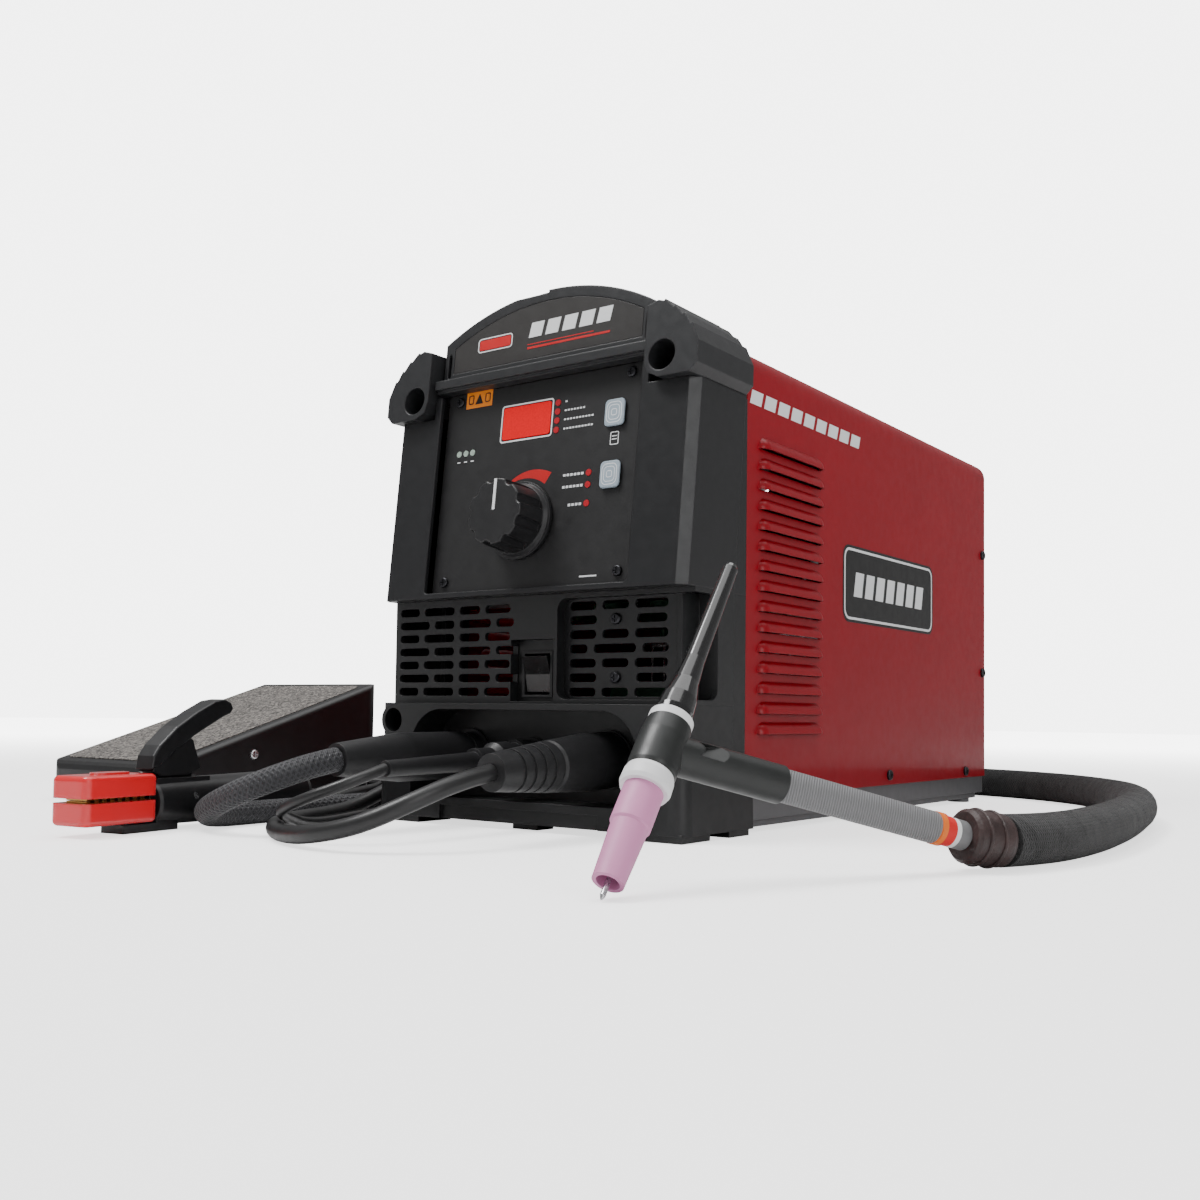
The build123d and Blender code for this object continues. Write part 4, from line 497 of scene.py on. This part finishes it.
# the lamps left of LAMP_SPLIT are pale, the others red
LAMP_SPLIT, LAMP_RED, LAMP_PALE = -0.05, (0.42, 0.012, 0.02, 1), (0.34, 0.42, 0.36, 1)
lamps, lamp_nodes, lamp_links, lamp_shader = new_material("indicator lamps")
lamp_at = lamp_nodes.new("ShaderNodeSeparateXYZ")
lamp_coords = lamp_nodes.new("ShaderNodeTexCoord").outputs["Object"]
lamp_links.new(lamp_coords, lamp_at.inputs["Vector"])
lamp_left = arithmetic(lamp_nodes, lamp_links, "LESS_THAN", lamp_at.outputs["X"], LAMP_SPLIT)
lamp_mix = lamp_nodes.new("ShaderNodeMix")
lamp_mix.data_type = "RGBA"
lamp_mix.inputs["A"].default_value = LAMP_RED
lamp_mix.inputs["B"].default_value = LAMP_PALE
lamp_links.new(lamp_left, lamp_mix.inputs["Factor"])
lamp_links.new(lamp_mix.outputs["Result"], lamp_shader.inputs["Base Color"])
lamp_grain = noise(lamp_nodes, lamp_links, lamp_coords, 1500.0, 3.0)
lamp_links.new(bump(lamp_nodes, lamp_links, lamp_grain, 0.2, 0.00003), lamp_shader.inputs["Normal"])
lamp_shader.inputs["Roughness"].default_value = 0.3

MATERIALS = {
    "upper_fascia": fascia_black, "inlet_panel": black, "inlet_insert": black,
    "base_moulding": black, "top_handle": bumper_grey, "rocker_housing": black,
    "bumper_left": bumper_grey, "bumper_right": bumper_grey, "control_panel": panel_black,
    "nameplate": plate_grey, "wrap_cover": red, "chassis": grey_metal, "rear_panel": grey_metal,
    "case_screws": dark_screw,
    "display_window": display, "indicator_leds": lamps, "mode_button": key, "process_button": key,
    "knob": knob_black, "fan_guard": steel, "holder_pin": steel, "pedal_axle": steel,
    "tungsten": steel, "control_board": board_green, "power_board": board_green,
    "rocker_paddle": rocker_black, "heat_sink": aluminium, "gas_valve": brass,
    "jaw_contact_lower": brass, "jaw_contact_upper": brass, "fan_frame": black, "fan_rotor": black,
    "power_cord_gland": black, "front_sockets": black, "torch_plug": plug_black,
    "remote_plug": plug_black, "electrode_plug": plug_black, "torch_head": torch_black,
    "torch_handle": grip, "head_gaskets": white, "alumina_cup": pink, "back_cap": cap_black,
    "torch_boot": boot, "lead_collar": plug_black, "holder_body": holder_black,
    "holder_lever": holder_black, "jaw_cover_lower": coral, "jaw_cover_upper": coral,
    "pedal_base": pedal_black, "pedal_treadle": pedal_black, "pedal_pad": pad,
}
for node, material in MATERIALS.items():
    mesh = NODES[node].data
    mesh.materials.clear()
    mesh.materials.append(material)
for cord_object, material in ((braid, braid_cloth), (cover, cover_cloth),
                              (holder_cord, cable_black), (pedal_cord, cable_black)):
    cord_object.data.materials.append(material)


# ------------------------------------------------------------------ printed marks and small pieces
# a plane is its origin in mm and its directions across, up and out
LEAN = math.radians(6.1)                # of the front, backwards
PANEL_AT = Vector((0, 0, 220.8))
PANEL_OUT = Vector((0, -math.cos(LEAN), math.sin(LEAN)))
PANEL = (PANEL_AT, Vector((1, 0, 0)), Vector((0, math.sin(LEAN), math.cos(LEAN))), PANEL_OUT)
PRINT_LIFT, OVERPRINT_LIFT = 0.02, 0.16     # of print on a surface, and on a printed label
DISPLAY_AT, KNOB_AT = (-11, 41.8), (-8, -25.4)
LABEL_SIGNS_V = 63                      # the row of signs on the warning label
DISPLAY_PITCH, PROCESS_PITCH, EDGE_PITCH = 2.4, 2.8, 6      # of the dashes beside each
BADGE_AT = (292, 170)
BEHIND_LOUVRES = 0.25                   # metres from the front
TIE_RADIUS, TIE_THICKNESS = 0.01315, 0.0011


def panel_height(node):
    """How far a CAD node stands out from the panel's origin, in mm."""
    return max((v.co / MM - PANEL_AT).dot(PANEL_OUT) for v in NODES[node].data.vertices)


def flat_piece(name, loops, origin, across, upward, out, lift, material, body, thick=0.12):
    """Thin printed shapes on a plane: each loop is one polygon, in mm across and up."""
    vertices, faces = [], []
    for loop in loops:
        first = len(vertices)
        for u, v in loop:
            at = origin + across * u + upward * v + out * lift
            vertices.append(at * MM)
        faces.append(list(range(first, first + len(loop))))
    mesh = bpy.data.meshes.new(name)
    mesh.from_pydata(vertices, [], faces)
    mesh.materials.append(material)
    obj = bpy.data.objects.new(name, mesh)
    bpy.context.scene.collection.objects.link(obj)
    solid = obj.modifiers.new("thickness", "SOLIDIFY")
    solid.thickness = thick * MM
    solid.offset = 1
    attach(obj, body)


def rectangle(x0, v0, x1, v1):
    return [(x0, v0), (x1, v0), (x1, v1), (x0, v1)]


def rounded(cx, cv, width, height, radius, steps=6):
    """A rectangle with round corners."""
    points = []
    for corner, (sx, sv) in enumerate(((1, 1), (-1, 1), (-1, -1), (1, -1))):
        for k in range(steps + 1):
            a = math.pi / 2 * (corner + k / steps)
            points.append((cx + sx * (width / 2 - radius) + radius * math.cos(a),
                           cv + sv * (height / 2 - radius) + radius * math.sin(a)))
    return points


def frame_of(outer, inner):
    """Quads between two loops with the same number of points."""
    count = len(outer)
    return [[outer[i], outer[(i + 1) % count], inner[(i + 1) % count], inner[i]]
            for i in range(count)]


def arc_band(cx, cv, a0, a1, inner, outer0, outer1, steps=24):
    """A band round a centre, that widens outward from outer0 to outer1."""
    quads = []
    for k in range(steps):
        b = [math.radians(a0 + (a1 - a0) * (k + e) / steps) for e in (0, 1)]
        r = [outer0 + (outer1 - outer0) * (k + e) / steps for e in (0, 1)]
        quads.append([(cx + inner * math.cos(b[0]), cv + inner * math.sin(b[0])),
                      (cx + r[0] * math.cos(b[0]), cv + r[0] * math.sin(b[0])),
                      (cx + r[1] * math.cos(b[1]), cv + r[1] * math.sin(b[1])),
                      (cx + inner * math.cos(b[1]), cv + inner * math.sin(b[1]))])
    return quads


def on_panel(name, loops, material, lift=PRINT_LIFT):
    """Print on the control panel's face."""
    flat_piece(name, loops, *PANEL, panel_face + lift, material, "machine")


panel_face = panel_height("control_panel")
on_panel("display_frame", frame_of(rounded(*DISPLAY_AT, 43.4, 25.4, 2.2),
                                   rounded(*DISPLAY_AT, 41.4, 23.4, 1.4)), print_white)
on_panel("knob_arc", arc_band(*KNOB_AT, 116, 55, 28.5, 30.0, 37.0), print_red)
on_panel("warning_label", [rectangle(-65.5, 57, -42.6, 69)], print_orange)
warning_signs = [[(-57.5, 59.4), (-50.6, 59.4), (-54, 66.4)]]
for sign_u in (-61.2, -46.6):
    warning_signs += frame_of(rounded(sign_u, LABEL_SIGNS_V, 4.6, 6.4, 1.2, 3),
                              rounded(sign_u, LABEL_SIGNS_V, 3.2, 5.0, 0.8, 3))
on_panel("warning_signs", warning_signs, print_black, OVERPRINT_LIFT)

# dashes in place of the panel's lettering: rows right of the display, rows left of the process
# key, three dashes at the left edge, the sign between the keys and the line at the lower right
label_bars = []
for height_v, length_u in ((50.6, 4.5), (44.7, 17.0), (38.7, 24.0), (32.6, 24.0)):
    for k in range(int(length_u / DISPLAY_PITCH)):
        label_bars.append(rectangle(20 + k * DISPLAY_PITCH, height_v - 0.55,
                                    21.6 + k * DISPLAY_PITCH, height_v + 0.55))
for height_v, length_u in ((1.7, 17.0), (-6.0, 17.0), (-17.9, 12.0)):
    for k in range(int(length_u / PROCESS_PITCH)):
        label_bars.append(rectangle(37 - k * PROCESS_PITCH, height_v - 0.8,
                                    39 - k * PROCESS_PITCH, height_v + 0.8))
for k in range(3):
    label_bars.append(rectangle(-69.0 + k * EDGE_PITCH, 19.6, -66.4 + k * EDGE_PITCH, 20.4))
label_bars += frame_of(rounded(60.7, 21.5, 6.4, 8.4, 0.8, 2),
                       rounded(60.7, 21.5, 5.2, 7.2, 0.5, 2))
label_bars += [rectangle(58.8, 22.6, 62.6, 23.2), rectangle(58.8, 20.6, 62.6, 21.2)]
label_bars.append(rectangle(42, -64.6, 55, -63.6))
on_panel("label_marks", label_bars, print_white)

# rings round each key's middle: their outer widths and line widths
for node, body, cx, cv in (("mode_button", "mode_key", 60.7, 37.4),
                           ("process_button", "process_key", 60.5, -1.8)):
    top = panel_height(node)
    rings = []
    for width, line in ((11.6, 0.5), (8.4, 0.45), (4.4, 0.5)):
        height = width * 1.16 if width > 5 else width
        rings += frame_of(rounded(cx, cv, width, height, width * 0.32),
                          rounded(cx, cv, width - 2 * line, height - 2 * line, width * 0.32 - line))
    flat_piece(node + "_rings", rings, *PANEL, top + 0.01, print_white, body, 0.08)

flat_piece("knob_pointer", [rectangle(-9.0, -24.4, -7.0, -4.6)], *PANEL,
           panel_height("knob") - 0.35, print_white, "knob_body", 0.6)


def dashes(x0, v0, v1, count, width, gap, slant):
    """A row of slanted bars, in place of lettering."""
    row = []
    for k in range(count):
        x = x0 + k * (width + gap)
        row.append([(x, v0), (x + width, v0), (x + width + slant, v1), (x + slant, v1)])
    return row


plate_print = panel_height("nameplate") + PRINT_LIFT
flat_piece("nameplate_marks", dashes(-13, 97.5, 107.5, 5, 10.5, 3.2, 2.0)
           + frame_of(rounded(-42, 99, 30, 10, 2.5), rounded(-42, 99, 28.4, 8.4, 1.8)),
           *PANEL, plate_print, print_white, "machine")
flat_piece("nameplate_line", [rectangle(-13.5, 89.8, 53, 91.2), rectangle(-13.5, 92.6, 40, 93.2),
                              rounded(-42, 99, 27, 7, 1.2)],
           *PANEL, plate_print, print_red, "machine")

# the cover's right side, measured behind its louvres, where it is flat
SIDE_FLAT = max(v.co.x for v in NODES["wrap_cover"].data.vertices
                if v.co.y > BEHIND_LOUVRES) / MM
SIDE = (Vector((SIDE_FLAT, 0, 0)), Vector((0, 1, 0)), Vector((0, 0, 1)), Vector((1, 0, 0)))
flat_piece("side_stripe", dashes(69, 270.5, 279.5, 9, 14.5, 4.0, 3.0), *SIDE, PRINT_LIFT,
           print_white, "machine")
flat_piece("side_badge", [rounded(*BADGE_AT, 172, 56, 9)], *SIDE, PRINT_LIFT, print_black,
           "machine")
flat_piece("side_badge_lines",
           frame_of(rounded(*BADGE_AT, 168, 52, 8), rounded(*BADGE_AT, 164.4, 48.4, 6.4))
           + dashes(224, 161, 179, 7, 14, 5.2, 4), *SIDE, OVERPRINT_LIFT, print_white, "machine")

# ties round the torch's boot
BOOT_FROM, BOOT_TO = HANDLE_TO, Vector((0.299, -0.004, 0.0142))
boot_axis = (BOOT_TO - BOOT_FROM).normalized()
for number, share in enumerate((0.3, 0.68), 1):
    bpy.ops.mesh.primitive_torus_add(major_radius=TIE_RADIUS, minor_radius=TIE_THICKNESS,
                                     major_segments=64, minor_segments=12)
    tie = bpy.context.object
    tie.name = "boot_tie_%d" % number
    place = BOOT_FROM + (BOOT_TO - BOOT_FROM) * share
    turn = boot_axis.to_track_quat("Z", "Y").to_matrix().to_4x4()
    tie.data.transform(Matrix.Translation(place) @ turn)
    tie.data.materials.append(boot)
    for face in tie.data.polygons:
        face.use_smooth = True
    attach(tie, "machine")

# ------------------------------------------------------------------ stage and light
# the floor and the world are brighter to the camera than as lights, so the studio stays white;
# the floor's own glow grows with the distance from its middle, in shares of FLOOR_SIZE
FLOOR_SIZE = 14
FADE_START, FADE_END, NEAR_GLOW, FAR_GLOW = 0.05, 0.22, 1.5, 6.0
WORLD_SEEN, WORLD_LIGHT = 5.0, 0.35
bpy.ops.mesh.primitive_plane_add(size=1, location=(0, 0, -0.0002))
floor = bpy.context.object
floor.name = "floor"
floor.scale = (FLOOR_SIZE, FLOOR_SIZE, 1)
floor_material, floor_nodes, floor_links, floor_shader = new_material("floor")
floor_shader.inputs["Base Color"].default_value = (0.86, 0.86, 0.86, 1)
floor_shader.inputs["Roughness"].default_value = 0.6
seen = floor_nodes.new("ShaderNodeLightPath")
floor_shader.inputs["Emission Color"].default_value = (1, 1, 1, 1)
floor_coords = floor_nodes.new("ShaderNodeTexCoord").outputs["Object"]
floor_distance = floor_nodes.new("ShaderNodeVectorMath")
floor_distance.operation = "LENGTH"
floor_links.new(floor_coords, floor_distance.inputs[0])
floor_far = floor_nodes.new("ShaderNodeMapRange")
floor_far.interpolation_type = "SMOOTHSTEP"
floor_far.inputs["From Min"].default_value = FADE_START
floor_far.inputs["From Max"].default_value = FADE_END
floor_far.inputs["To Min"].default_value = NEAR_GLOW
floor_far.inputs["To Max"].default_value = FAR_GLOW
floor_links.new(floor_distance.outputs["Value"], floor_far.inputs["Value"])
floor_links.new(arithmetic(floor_nodes, floor_links, "MULTIPLY", seen.outputs["Is Camera Ray"],
                           floor_far.outputs["Result"]), floor_shader.inputs["Emission Strength"])
floor.data.materials.append(floor_material)

world = bpy.data.worlds.new("world")
bpy.context.scene.world = world
world.use_nodes = True
world_nodes, world_links = world.node_tree.nodes, world.node_tree.links
world_nodes["Background"].inputs["Color"].default_value = (1, 1, 1, 1)
seen_world = world_nodes.new("ShaderNodeLightPath")
direct = arithmetic(world_nodes, world_links, "MULTIPLY", seen_world.outputs["Is Camera Ray"],
                    WORLD_SEEN)
world_links.new(arithmetic(world_nodes, world_links, "ADD", direct, WORLD_LIGHT),
                world_nodes["Background"].inputs["Strength"])


def lamp(name, at, target, size, power):
    """A rectangular lamp that faces its target: size in metres, power in watts."""
    data = bpy.data.lights.new(name, "AREA")
    data.shape = "RECTANGLE"
    data.size, data.size_y = size
    data.energy = power
    obj = bpy.data.objects.new(name, data)
    bpy.context.scene.collection.objects.link(obj)
    obj.location = at
    obj.rotation_euler = (Vector(target) - Vector(at)).to_track_quat("-Z", "Y").to_euler()


# where each stands, what it faces, its size and its power
lamp("key", (-0.9, -0.9, 2.5), (0, 0, 0.14), (1.2, 1.0), 70)
lamp("fill", (2.2, -0.9, 1.0), (0.1, 0.2, 0.15), (1.0, 1.4), 18)
lamp("top", (0.1, 0.5, 2.4), (0, 0.2, 0), (2.4, 2.4), 45)
